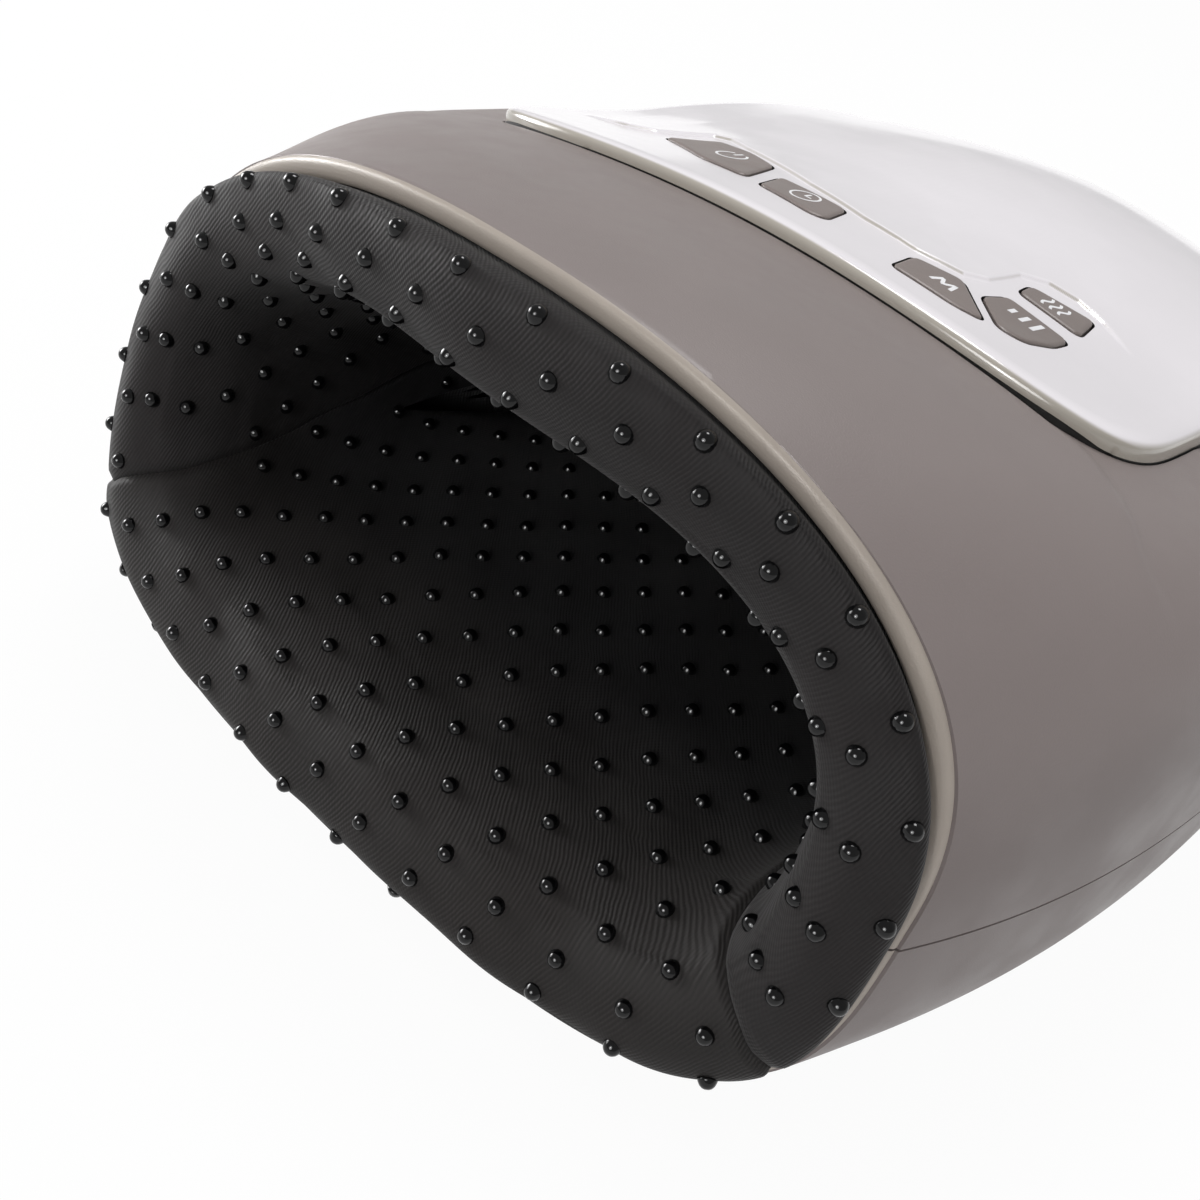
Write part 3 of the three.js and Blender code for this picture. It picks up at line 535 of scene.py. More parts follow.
def cover_relief(points):
    """How much the cover rises behind the step line."""
    line = np.array(STEP_LINE, dtype=float)
    best = np.full(len(points), 1e9)
    side = np.zeros(len(points))
    for a, b in zip(line[:-1], line[1:]):
        along = b - a
        t = np.clip(((points - a) @ along) / (along @ along), 0, 1)
        apart = points - (a + t[:, None] * along)
        distance = np.hypot(apart[:, 0], apart[:, 1])
        turn = along[0] * (points[:, 1] - a[1]) - along[1] * (points[:, 0] - a[0])
        nearer = distance < best
        best = np.where(nearer, distance, best)
        side = np.where(nearer, np.sign(turn), side)
    signed = best * side
    rise = eased(ramp(signed, -STEP_WIDTH / 2, STEP_WIDTH))
    ends = ramp(points[:, 0], -54, 9) * ramp(-points[:, 0], -46, 9)
    return STEP_RISE * rise * ends * np.exp(-np.maximum(signed, 0) / STEP_FADE)


def cover_surface(outline, lift, relief=False):
    """A row of points over an outline, at a height above the case's top."""
    heights = np.array([case_height(x, y) for x, y in outline]) + lift
    if relief:
        heights = heights + cover_relief(outline)
    return np.column_stack([outline, heights])


def drawn_in(outline, middle, shrink):
    """An outline, or a value, drawn in towards a middle."""
    return middle + (outline - middle) * shrink


# %% [markdown]
# The cover's skin runs up the wall, over the rounded edge, in to the middle and back along the
# underside. Its first row and the walls of the key holes are painted black, as painted shade for the dark
# gap round the cover and the keys.

# %% Top cover
# Margin and lift of each row round the edge, from the wall to the top.
COVER_ROUNDING = [(0.0, 0.75), (-0.08, 1.2), (-0.36, 1.65), (-0.86, 1.98), (-1.6, 2.18), (-2.4, 2.27)]
COVER_UNDERCUT, COVER_WALL, COVER_FOOT = 0.9, 1.9, -1.3
COVER_CENTRE = np.array([0.0, 118.0])

cover_edge = even_line(cover_outline, 420 * FINE, closed=True)
cover_out = outward(cover_edge)
x, y = cover_edge.T
undercut = COVER_UNDERCUT * ramp(-y, 8 - COVER_MIDDLE, 12) * ramp(x, -34, 12) * ramp(-x, -58, 3)
lowered = 0.7 * ramp(np.abs(x), 50, 7) * ramp(y, 66, 4)
gap_edge = cover_edge - cover_out * undercut[:, None]
cover_rows = [cover_surface(gap_edge, COVER_FOOT), cover_surface(gap_edge, 0.14 - lowered),
              cover_surface(cover_edge, 0.2 - lowered)]
cover_rows += [cover_surface(cover_edge + cover_out * margin, lift) for margin, lift in COVER_ROUNDING]
cover_inner = cover_edge - cover_out * 3.2
shrinks = np.append(1 - np.linspace(0, 1, 110 * FINE)[:-1], 0.0003)
cover_rows += [cover_surface(drawn_in(cover_inner, COVER_CENTRE, shrink), COVER_PROUD, relief=True)
               for shrink in shrinks]
cover_rows += [cover_surface(drawn_in(cover_inner, COVER_CENTRE, shrink), -0.2) for shrink in shrinks[::-8]]
cover_rows += [cover_surface(cover_edge - cover_out * COVER_WALL, lift) for lift in (-0.2, COVER_FOOT)]
top_cover = piece_from("cover_top", *skin_rows(cover_rows, loop=True))
# The first row and, below, the key holes' walls take the second slot: black paint as the shade in the gap.
two_slots(top_cover, lambda face: face.vertices[0] < len(cover_edge))
for hole in key_holes():
    two_slots(hole, lambda face: True)
    carve(top_cover, hole, "DIFFERENCE")
crisp(top_cover, 50)
print("cover:", len(top_cover.data.polygons), "faces")

# %% [markdown]
# ## Keys and their symbols
# Every key is a small cap with a bevelled edge, on a stem that meets its switch. The white symbols
# are printed on the real caps: power, timer, mode, strength and heat. Thin strokes laid on the caps
# keep their edges clean at any distance, which a painted picture would not.

# %% Keys
KEY_LIFT = COVER_PROUD + 0.35
# Margin and lift of each row of a cap, from below up to the end of the bevel.
KEY_PROFILE = [(-0.9, -3.0), (0.0, -3.0), (0.0, -0.45), (-0.07, -0.2), (-0.32, -0.03), (-0.6, 0.0)]
STEM_RADIUS, STEM_FOOT = 2.2, 81.6


def key_piece(name, outline):
    """A cap on its stem."""
    out = outward(outline)
    rows = [cover_surface(outline + out * margin, KEY_LIFT + lift) for margin, lift in KEY_PROFILE]
    inner = outline + out * KEY_PROFILE[-1][0]
    middle = inner.mean(axis=0)
    rows += [cover_surface(drawn_in(inner, middle, shrink), KEY_LIFT)
             for shrink in np.linspace(1, 0.04, 12)[1:]]
    key = piece_from("cap_" + name, *skin_rows(rows))
    x, y = np.array(KEY_CORNERS[name]).mean(axis=0)
    stem = rod("stem", STEM_RADIUS, x, y, STEM_FOOT, case_height(x, y) + KEY_LIFT - 2)
    return crisp(carve(key, stem, "UNION"), 40)


keys = {name: key_piece(name, outline) for name, outline in key_outlines.items()}
print("keys made:", len(keys))

# %% [markdown]
# A symbol is a list of lines in plan. Each line gets a width and a thickness, and follows the height
# of the case, so that it lies on the cap everywhere.

# %% Symbols
SYMBOL_STRETCH = (1.14, 1.55)
SYMBOL_TOP, SYMBOL_UNDERSIDE = 0.05, -0.1


def stroke(line, width):
    """The left and right edge of a flat stroke along a line."""
    along = np.gradient(line, axis=0)
    along /= np.maximum(np.linalg.norm(along, axis=1, keepdims=True), 1e-9)
    side = np.stack([-along[:, 1], along[:, 0]], axis=-1) * width / 2
    return line + side, line - side


def symbol_piece(name, middle, strokes, width):
    """White strokes laid on a key cap, slightly proud of it."""
    points, faces = [], []
    for line in strokes:
        count, start = len(line), len(points)
        under = 2 * count
        left, right = stroke(line * SYMBOL_STRETCH + middle, width)
        for lift in (SYMBOL_TOP, SYMBOL_UNDERSIDE):
            points += [(x, y, case_height(x, y) + KEY_LIFT + lift) for x, y in (*left, *right)]
        for a in range(start, start + count - 1):
            b = a + count
            faces += [(a, a + 1, b + 1, b), (a + under, b + under, b + 1 + under, a + 1 + under),
                      (a, a + under, a + 1 + under, a + 1), (b, b + 1, b + 1 + under, b + under)]
        for a in (start, start + count - 1):
            faces.append((a, a + count, a + count + under, a + under))
    return piece_from(name, points, faces, smooth=False)


def arc(radius, start, end, count=48):
    """Points of an arc between two angles in degrees."""
    angles = np.radians(np.linspace(start, end, count))
    return np.column_stack([radius * np.cos(angles), radius * np.sin(angles)])


def wave(x, height):
    """Points of one upright wave."""
    t = np.linspace(-1, 1, 24)
    return np.column_stack([x + 0.32 * np.sin(t * math.pi), t * height / 2])


# Middle, strokes and stroke width of each symbol.
KEY_SYMBOLS = {
    "power": ((-23.0, 88.7), [arc(2.0, 122, 418), even_line([(0, 0.4), (0, 2.1)], 4)], 0.44),
    "timer": ((-3.6, 81.9), [arc(1.9, 0, 360), even_line([(0, 1.1), (0, -0.1), (1.0, -0.1)], 8)], 0.38),
    "mode": ((24.1, 79.2), [even_line([(-1.5, -1.1), (-1.0, 1.1), (0, -0.7), (1.0, 1.1), (1.5, -1.1)], 25)],
             0.62),
    "intensity": ((34.3, 86.9), [even_line([(x, -h / 2), (x, h / 2)], 4)
                                 for x, h in ((-1.9, 1.5), (0, 2.2), (1.9, 2.9))], 0.8),
    "heat": ((33.3, 100.2), [wave(x, 2.7) for x in (-1.35, 0, 1.35)], 0.5),
}
symbols = {name: symbol_piece("symbol_" + name, *values) for name, values in KEY_SYMBOLS.items()}
print("symbols:", len(symbols))

# %% [markdown]
# ## The padded lining
# The lining is sewn from a roof and a floor of padded twill. Around the mouth it rolls out over the
# rim, and inside it narrows towards the fingertips. A cloth simulation would give folds of its own
# that no seam explains, so each half is built as one closed cushion: the face that the hand meets,
# dipped at the seams and gently rippled, and a back that lies against the frame.

# %% Lining form
POCKET_DEPTH = 136.0
SIDE_PAD, ROOF_PAD, FLOOR_PAD = 14.0, 14.5, 18.0
FINGER_DROP, FINGER_NARROW, WAIST_DROP = 27.5, 9.0, 12.0
FINGER_TOP_POWER = 3.4
LINING_THICKNESS = 4.95
ROOF_SAG, SAG_MIDDLE, SAG_WIDTH, SAG_REACH = 3.6, 4, 32, 60
# Where the roll's cloth hangs slack: turn round the mouth, width and amount.
SLACK = [(2.5, 0.34, 1.7), (3.82, 0.08, 2.4)]
# Stations round the roll: side, roof and floor insets, and depth at side, roof and floor.
ROLL_STATIONS = [
    (0.5, 0.5, 0.5, 9.0, 9.0, 9.0), (0.4, 0.4, 0.4, 3.0, 3.0, 3.0), (0.2, 0.2, 0.3, 0.5, 0.5, 0.5),
    (-0.8, -0.4, 0.1, -1.6, -1.3, -1.2), (-1.9, -0.6, 0.2, -3.6, -3.0, -3.0),
    (-1.6, 0.0, 1.4, -5.8, -4.9, -4.6), (0.8, 2.0, 4.0, -7.3, -6.2, -5.6),
    (3.8, 5.0, 8.0, -7.7, -6.6, -5.5), (7.0, 8.2, 11.4, -6.5, -5.6, -4.4),
    (9.8, 11.0, 14.2, -3.8, -3.0, -2.0), (11.8, 13.0, 16.2, 0.6, 1.0, 2.0),
    (13.2, 14.0, 17.4, 6.4, 6.8, 7.4), (13.8, 14.4, 17.8, 13.4, 13.6, 13.8),
    (14.0, 14.5, 18.0, 22.0, 22.0, 22.0)]
ROLL_STEPS = 3 * FINE
print("roll:", len(ROLL_STATIONS), "stations")

# %% [markdown]
# A station says how far the cloth lies inside the mouth's outline, and how deep, at the side, the
# roof and the floor. A smooth path through the stations gives the roll, and every point of the path
# becomes one row round the lining.

# %% Rows of the lining
def tunnel_station(deep, behind=0.0):
    """A station inside the tunnel, on the face or behind it."""
    return (SIDE_PAD - behind, ROOF_PAD - behind, FLOOR_PAD - behind, deep, deep, deep)


def smooth_path(stations, steps):
    """Catmull-Rom points through stations."""
    points = np.array(stations, dtype=float)
    padded_points = np.vstack([2 * points[0] - points[1], points, 2 * points[-1] - points[-2]])
    path = []
    for i in range(1, len(padded_points) - 2):
        p0, p1, p2, p3 = padded_points[i - 1:i + 3]
        for t in np.linspace(0, 1, steps, endpoint=False):
            path.append(0.5 * (2 * p1 + (p2 - p0) * t + (2 * p0 - 5 * p1 + 4 * p2 - p3) * t ** 2
                               + (3 * p1 - p0 - 3 * p2 + p3) * t ** 3))
    path.append(padded_points[-2])
    return np.array(path)


def lining_row(station, angles, shrink=1.0):
    """One row round the lining; the station gives insets and depths."""
    side, roof, floor, deep_side, deep_roof, deep_floor = station
    c, s = np.cos(angles), np.sin(angles)
    over, under = np.clip(s, 0, 1) ** 2, np.clip(-s, 0, 1) ** 2
    corner = np.clip(4 * (c * s) ** 2, 0, 1) * (s > 0)
    deep = deep_roof * over + deep_floor * under + deep_side * (1 - over - under)
    deep = deep * np.where(deep < 0, 1 - 0.45 * corner, 1)
    inward = np.clip(max(deep_roof, 0) / POCKET_DEPTH, 0, 1)
    half = MOUTH_HALF_WIDTH - WALL - side - FINGER_NARROW * inward ** 2
    top = MOUTH_TOP - WALL - roof - FINGER_DROP * (1 - (1 - inward ** 1.5) ** 4)
    bottom = CASE_BASE + WALL + floor
    middle = (top + bottom) / 2
    top, waist, bottom = (drawn_in(height, middle, shrink)
                          for height in (top, WAIST_HEIGHT - WAIST_DROP * inward, bottom))
    x, z = ring_of(angles, half * shrink, top, waist, bottom,
                   MOUTH_TOP_POWER + (FINGER_TOP_POWER - MOUTH_TOP_POWER) * inward, MOUTH_BOTTOM_POWER)
    hang = ramp(roof, 2, 9) * ROOF_SAG * math.exp(-max(deep_roof, 0) / SAG_REACH)
    z = z - np.where(s > 0, hang * np.exp(-((x - SAG_MIDDLE) / SAG_WIDTH) ** 2), 0)
    x = x + np.sign(x) * np.clip(-side, 0, 3) * 0.6 * np.abs(c) * (1 - corner)
    turn = np.arctan2(s, c) % (2 * math.pi)
    for at, width, amount in SLACK:
        x = x - amount * np.exp(-((turn - at) / width) ** 2) * ramp(-side, 0, 1.9)
    follow = np.clip(1 - np.maximum(deep, 0) / (POCKET_DEPTH / 2), 0, 1)
    return np.stack([x, deep + follow * mouth_place(x, z), z], axis=-1)


print("rows of the lining: tunnel_station, smooth_path, lining_row")

# %% [markdown]
# Two seams part the roof from the floor. They start low at the lip and climb towards the fingers, so
# a seam is a list of depths with its turn round the mouth at each.

# %% Seams of the lining
SEAM_RIGHT = [(-10, -0.56), (0, -0.6), (14, -0.57), (25, -0.52), (41, -0.37), (61, -0.02), (140, 0.1)]
SEAM_LEFT = [(deep, math.pi - angle) for deep, angle in SEAM_RIGHT]
# Shrink and share of the depth of each row that closes the tunnel's end.
TUNNEL_END = [(0.93, 0.90), (0.78, 0.94), (0.55, 0.98), (0.3, 0.995), (0.04, 1.0)]
HAND_MIDDLE = np.array([0.0, 60.0, 42.0])
print("seams:", len(SEAM_RIGHT), "marks each")


def seam_angle(seam, deep):
    """The turn of a seam at a depth."""
    return np.interp(deep, [d for d, _ in seam], [a for _, a in seam])


def lining_face_rows(first, last, count):
    """The face of one half of the lining, between two seams."""
    stations = [(station, 1.0) for station in smooth_path(ROLL_STATIONS, ROLL_STEPS)]
    stations += [(tunnel_station(deep), 1.0) for deep in np.linspace(22, 0.87 * POCKET_DEPTH, 22 * FINE)[1:]]
    stations += [(tunnel_station(share * POCKET_DEPTH), shrink) for shrink, share in TUNNEL_END]
    rows, depths = [], []
    for station, shrink in stations:
        deep = station[4]
        angles = np.linspace(seam_angle(first, deep), seam_angle(last, deep), count)
        rows.append(lining_row(station, angles, shrink))
        depths.append(deep)
    return np.array(rows), np.array(depths)


def towards_hand(rows):
    """Unit normals of a sheet of rows, on the side of the hand."""
    normals = np.cross(np.gradient(rows, axis=0), np.gradient(rows, axis=1))
    normals /= np.maximum(np.linalg.norm(normals, axis=2, keepdims=True), 1e-9)
    middle = len(rows) // 2, rows.shape[1] // 2
    return normals if normals[middle] @ (HAND_MIDDLE - rows[middle]) > 0 else -normals


print("hand side: the normals look towards", HAND_MIDDLE)

# %% [markdown]
# The face is pushed in along the seams and ripples a little, and the floor swells under the palm. The
# back follows the face at the thickness of the padding, from a little way inside the tunnel.

# %% Halves of the lining
SEAM_DIP, SEAM_WIDTH, RIPPLE_HEIGHT = 0.8, 1.2, 0.35
BACK_START, HUMP_HALF_WIDTH = 20, 52


def lining_half(name, first, last, count, hump):
    """A closed cushion for one half, with its face and normals for laying dots on."""
    rows, depths = lining_face_rows(first, last, count)
    normals = towards_hand(rows)
    deep = depths[:, None]
    share = np.linspace(0, 1, count)[None, :]
    length = np.linalg.norm(np.diff(rows, axis=1), axis=2).sum(axis=1)[:, None]
    from_seam = np.minimum(share, 1 - share) * length
    x, z = rows[..., 0], rows[..., 2]
    lift = -SEAM_DIP * np.exp(-(from_seam / SEAM_WIDTH) ** 2)
    lift = lift + hump * ramp(deep, 14, 20) * np.clip(1 - (x / HUMP_HALF_WIDTH) ** 2, 0, 1)
    ripple = np.sin(x * 0.21 + z * 0.13) * np.sin(deep * 0.17 + x * 0.05)
    lift = lift + RIPPLE_HEIGHT * ripple * (np.abs(deep - 4) > 8)
    face = rows + normals * lift[..., None]
    back_rows = (rows - normals * LINING_THICKNESS)[depths >= BACK_START][::-1]
    points, faces = skin_rows(np.concatenate([face, back_rows]), around=False, loop=True)
    return piece_from(name, points, faces), face, normals


roof_lining, roof_face, roof_normals = lining_half(
    "lining_upper", SEAM_RIGHT, SEAM_LEFT, 130 * FINE, 0.0)
floor_lining, floor_face, floor_normals = lining_half(
    "lining_lower", [(d, a - 2 * math.pi) for d, a in SEAM_LEFT], SEAM_RIGHT, 110 * FINE, 2.0)
print("lining:", len(roof_lining.data.polygons), "+", len(floor_lining.data.polygons), "faces")

# %% [markdown]
# ## Grip dots
# Small glossy domes of silicone are printed on the cloth so that the hand doesn't slip. They stand
# in a staggered lattice whose rows are slanted and drift a little, as the cut cloth does. Instances
# on the faces would follow the mesh's own rows, so each dome is placed by the length of cloth from
# the middle line and from the lip, and stands on the cloth along its own normal.

# %% One dot
DOT_RADIUS = 1.2
DOT_HEIGHT = 1.15
# Shares of the radius and of the height of each ring of a dome, from its foot to its top.
DOT_PROFILE = [(1.15, -0.25), (1.08, 0.04), (0.98, 0.3), (0.82, 0.6), (0.56, 0.85), (0.26, 0.98)]
DOT_TURNS = np.linspace(0, 2 * math.pi, 16, endpoint=False)


def dome(spot, normal):
    """One dome with a soft foot, as rows of points."""
    normal = normal / np.linalg.norm(normal)
    helper = np.array([0.0, 0.0, 1.0]) if abs(normal[2]) < 0.8 else np.array([1.0, 0.0, 0.0])
    side = np.cross(normal, helper)
    side /= np.linalg.norm(side)
    other = np.cross(normal, side)
    return [[spot + (side * math.cos(a) + other * math.sin(a)) * DOT_RADIUS * radius
             + normal * DOT_HEIGHT * height for a in DOT_TURNS] for radius, height in DOT_PROFILE]


print("dome:", len(DOT_PROFILE), "rings of", len(DOT_TURNS), "points")

# %% [markdown]
# The lattice is measured on the cloth itself: the way walked from the lip gives a dot's row, and the
# way walked from the middle line gives its place in the row.

# %% Dots on the cloth
REFERENCE_ROW = 7 * ROLL_STEPS
FIRST_DOT_ROW = 3 * ROLL_STEPS
DOTS_END_BEFORE = 30
DOTS_FROM_SEAM = 2.4
# Rows before and after the anchor, and places on each side of it, that are enough for the whole cloth.
DOT_ROWS = range(-12, 22)
DOT_COLUMNS = 24


def dots_on(name, face, normals, pitch, drift, row_gap, slant, anchor):
    """Domes in a staggered lattice that is anchored on the middle line."""
    count = face.shape[1]
    middle = int(np.argmin(np.abs(face[REFERENCE_ROW, :, 0])))
    walked = walked_along(face[:, middle])
    girths = np.array([walked_along(row) for row in face])
    wide = girths[REFERENCE_ROW][-1]
    leads = np.sign(np.mean(np.diff(face[REFERENCE_ROW, :, 0])))
    anchor_across, anchor_deep = anchor
    inner = np.arange(len(face)) > REFERENCE_ROW
    anchor_walk = np.interp(anchor_deep, face[inner, middle, 1], walked[inner])
    first_walk, last_walk = walked[FIRST_DOT_ROW], walked[-1] - DOTS_END_BEFORE
    points, faces = [], []
    made = 0
    for row in DOT_ROWS:
        back_by = math.floor(row * drift / pitch + 0.5)
        for column in range(-DOT_COLUMNS - back_by, DOT_COLUMNS + 1 - back_by):
            mark = anchor_walk + row * row_gap + column * slant
            if not first_walk < mark < last_walk:
                continue
            low = min(int(np.interp(mark, walked, np.arange(len(walked)))), len(face) - 2)
            blend = (mark - walked[low]) / max(walked[low + 1] - walked[low], 1e-6)
            girth = girths[low] * (1 - blend) + girths[low + 1] * blend
            scale = min(max(girth[-1] / wide, 0.97), 1.2)
            s = girth[middle] + leads * scale * (anchor_across + column * pitch + row * drift)
            if s < DOTS_FROM_SEAM or s > girth[-1] - DOTS_FROM_SEAM:
                continue
            at = np.interp(s, girth, np.arange(count))
            left = min(int(at), count - 2)
            mixing = at - left
            spot = ((face[low, left] * (1 - mixing) + face[low, left + 1] * mixing) * (1 - blend)
                    + (face[low + 1, left] * (1 - mixing) + face[low + 1, left + 1] * mixing) * blend)
            base = len(points)
            dome_points, dome_faces = skin_rows(dome(spot, normals[low, left]))
            points += list(dome_points)
            faces += [tuple(i + base for i in f) for f in dome_faces]
            made += 1
    print(name, made, "dots")
    return piece_from(name, points, faces)


roof_dots = dots_on("dots_upper", roof_face, roof_normals, 11.0, 5.5, 6.3, 0.0, (-3.0, 20.0))
floor_dots = dots_on("dots_lower", floor_face, floor_normals, 10.7, 3.9, 6.1, -1.2, (1.7, 20.4))

# %% [markdown]
# ## Air bags and heater
# Behind the lining two air bags squeeze the hand, and a film heater lies under the palm. They are
# thin and soft, so each is a pouch with rounded, welded edges. The tunnel's own rows, moved behind
# the cloth, give their course, as a separate shape would soon cut through the lining.

# %% Pouches
POUCH_DEPTHS = (32, 116)
UPPER_TURNS = (0.75, math.pi - 0.75)
LOWER_TURNS = (math.pi + 0.62, 2 * math.pi - 0.62)


def pouch(name, inset_near, inset_far, turns, swell):
    """A closed pouch between two layers behind the lining, thinner at its welded edges."""
    u, v = np.linspace(-1, 1, 48)[None, :], np.linspace(-1, 1, 40)[:, None]
    fullness = np.clip((1 - u ** 8) * (1 - v ** 8), 0.02, 1) ** swell
    middle = (inset_near + inset_far) / 2
    sheet = np.array([lining_row(tunnel_station(deep, middle), np.linspace(*turns, 48))
                      for deep in np.linspace(*POUCH_DEPTHS, 40)])
    half = towards_hand(sheet) * ((inset_far - inset_near) / 2 * fullness)[..., None]
    layers = np.concatenate([sheet + half, (sheet - half)[::-1]])
    return piece_from(name, *skin_rows(layers, around=False, loop=True))


upper_bag = pouch("bag_upper", 5.9, 10.2, UPPER_TURNS, 0.5)
lower_bag = pouch("bag_lower", 7.2, 10.2, LOWER_TURNS, 0.5)
palm_heater = pouch("heater_film", 5.85, 6.75, LOWER_TURNS, 0.2)
print("pouches:", upper_bag.name, lower_bag.name, palm_heater.name)

# %% [markdown]
# ## Shader arithmetic
# Materials could be wired node by node, but then the idea drowns in wiring. A `Signal` wraps one
# output of a node, so that plain arithmetic on it builds Math nodes for values and Vector Math nodes
# for vectors and colours. `Finish` holds one material while it is being made.

# %% Signals
class Signal:
    """One output of a node, with arithmetic."""

    def __init__(self, finish, socket):
        self.finish = finish
        self.socket = socket

    def is_vector(self):
        return self.socket.type in ("VECTOR", "RGBA")

    def other(self, output):
        """Another output of the same node."""
        return Signal(self.finish, self.socket.node.outputs[output])

    def combine(self, operation, first, second=None):
        vector = any(isinstance(v, Signal) and v.is_vector() for v in (first, second))
        kind = "ShaderNodeVectorMath" if vector else "ShaderNodeMath"
        values = {0: first} if second is None else {0: first, 1: second}
        if vector:
            values = {k: ((v, v, v) if isinstance(v, (int, float)) else v) for k, v in values.items()}
        return self.finish.node(kind, {"operation": operation}, values)

    def __add__(self, other):
        return self.combine("ADD", self, other)

    def __radd__(self, other):
        return self.combine("ADD", other, self)

    def __sub__(self, other):
        return self.combine("SUBTRACT", self, other)

    def __rsub__(self, other):
        return self.combine("SUBTRACT", other, self)

    def __mul__(self, other):
        return self.combine("MULTIPLY", self, other)

    def __rmul__(self, other):
        return self.combine("MULTIPLY", other, self)

    def sine(self):
        return self.combine("SINE", self)

    def absolute(self):
        return self.combine("ABSOLUTE", self)

    def larger(self, other):
        return self.combine("MAXIMUM", self, other)

    def mapped(self, low, high, to_low=0.0, to_high=1.0):
        """This value carried from one range to another, held at the ends."""
        return self.finish.node("ShaderNodeMapRange", {"clamp": True, "interpolation_type": "SMOOTHSTEP"},
                                {0: self, 1: low, 2: high, 3: to_low, 4: to_high})


print("signals: +, -, *, sine, absolute, larger and mapped")

# %% [markdown]
# A finish starts from an empty node tree. One method makes any node, with its settings first and the
# values or links of its sockets after them. The others name what this part's materials need.

# %% Finishes
class Finish:
    """A material and its nodes."""

    def __init__(self, name):
        self.material = bpy.data.materials.new(name)
        self.material.use_nodes = True
        self.tree = self.material.node_tree
        self.tree.nodes.clear()
        self.output = self.tree.nodes.new("ShaderNodeOutputMaterial")

    def plug(self, socket, value):
        if isinstance(value, Signal):
            self.tree.links.new(value.socket, socket)
        else:
            socket.default_value = value

    def node(self, kind, settings=None, values=None, output=0):
        """A node of any type: its settings first, then its socket values or links."""
        made = self.tree.nodes.new(kind)
        for name, value in (settings or {}).items():
            setattr(made, name, value)
        for key, value in (values or {}).items():
            self.plug(made.inputs[key], value)
        return Signal(self, made.outputs[output])

    def place(self):
        """Where a point of the surface lies, in metres."""
        return self.node("ShaderNodeTexCoord", output="Object")

    def axes(self, vector):
        """The x, y and z of a vector."""
        x = self.node("ShaderNodeSeparateXYZ", {}, {0: vector})
        return x, x.other(1), x.other(2)

    def facing(self):
        """The x, y and z of the surface's normal."""
        return self.axes(self.node("ShaderNodeNewGeometry", output="Normal"))

    def noise(self, scale, detail=4.0):
        return self.node("ShaderNodeTexNoise", {}, {"Vector": self.place(), "Scale": scale,
                                                    "Detail": detail, "Roughness": 0.55})

    def blend(self, share, first, second):
        """A colour between two colours."""
        return self.node("ShaderNodeMix", {"data_type": "RGBA", "clamp_factor": True},
                         {0: share, 6: first, 7: second}, output=2)

    def bump(self, height, distance, strength=1.0):
        values = {"Height": height, "Distance": distance, "Strength": strength}
        return self.node("ShaderNodeBump", {}, values)

    def surface(self, **values):
        """The surface itself; its sockets are named with _ for spaces."""
        values = {socket.replace("_", " "): value for socket, value in values.items()}
        self.close(self.node("ShaderNodeBsdfPrincipled", {}, values))
        return self.material

    def close(self, shader):
        self.tree.links.new(shader.socket, self.output.inputs["Surface"])


def paint(card):
    """A colour as written on a paint card, 0 to 255, in linear light."""
    shares = [v / 255 for v in card]
    return (*[v / 12.92 if v <= 0.04045 else ((v + 0.055) / 1.055) ** 2.4 for v in shares], 1.0)


print("finish helpers:", ", ".join(name for name in vars(Finish) if name[0] != "_"))

# %% [markdown]
# ## Materials
# The real case is matt moulded plastic with a glossy cover, and the lining is black twill. Photographs
# of samples would bring their own light with them, so all finishes are worked out. Plastics get a
# fine grain, slight mottling and a polish that varies. The shell and the cover get a painted shade
# where they turn away from the lamps, and the twill a painted shade deep in the tunnel. The twill
# gets diagonal ribs and a bloom of wear.

# %% Moulded plastic
def mottled(finish):
    """Soft patches, a few centimetres wide."""
    return finish.noise(38.0, 3.0).mapped(0.35, 0.65)


def polish(finish, least, most):
    """Roughness that drifts between two values."""
    return finish.noise(90.0, 3.0).mapped(0.3, 0.7, least, most)


def moulded(name, light, dark, roughness, grain=40, shine=0.5, painted_shade=None):
    """Moulded plastic with a grain in micrometres; a painted shade takes over on its undersides."""
    finish = Finish(name)
    specks = finish.noise(4200.0, 2.0)
    tone = finish.blend(mottled(finish) * 0.7 + specks * 0.3, paint(dark), paint(light))
    # Painted shade: where the surface faces down, the darker shaded tone takes over.
    if painted_shade:
        down = finish.facing()[2] * -1.0
        tone = finish.blend(down.mapped(-0.55, -0.05), tone, paint(painted_shade))
    return finish.surface(Base_Color=tone, Roughness=polish(finish, roughness - 0.05, roughness + 0.06),
                          Normal=finish.bump(specks, grain * 1e-6), Specular_IOR_Level=shine)


print("maker:", moulded.__name__)

# %% [markdown]
# The cover is plastic under a clear coat. The twill is two crossing waves, a strong one for the
# diagonal ribs and a weak one for the threads between them. Steel is drawn with fine noise.

# %% Gloss, twill and steel
def cover_gloss(name, light, dark, painted_shade):
    """Glossy cover with a painted shade where its surface turns to the front or the sides."""
    finish = Finish(name)
    x, y, z = finish.facing()
    # Painted shade: darker where the surface faces the front or the sides, which gives the wall and the step
    # their grey.
    turned = (y * -1.0).mapped(0.21, 0.62) + x.absolute().mapped(0.5, 0.95)
    tone = finish.blend(turned, finish.blend(mottled(finish), paint(dark), paint(light)), paint(painted_shade))
    return finish.surface(Base_Color=tone, Roughness=polish(finish, 0.12, 0.2),
                          Normal=finish.bump(finish.noise(1600.0, 2.0), 0.000003),
                          Coat_Weight=0.4, Coat_Roughness=0.08)


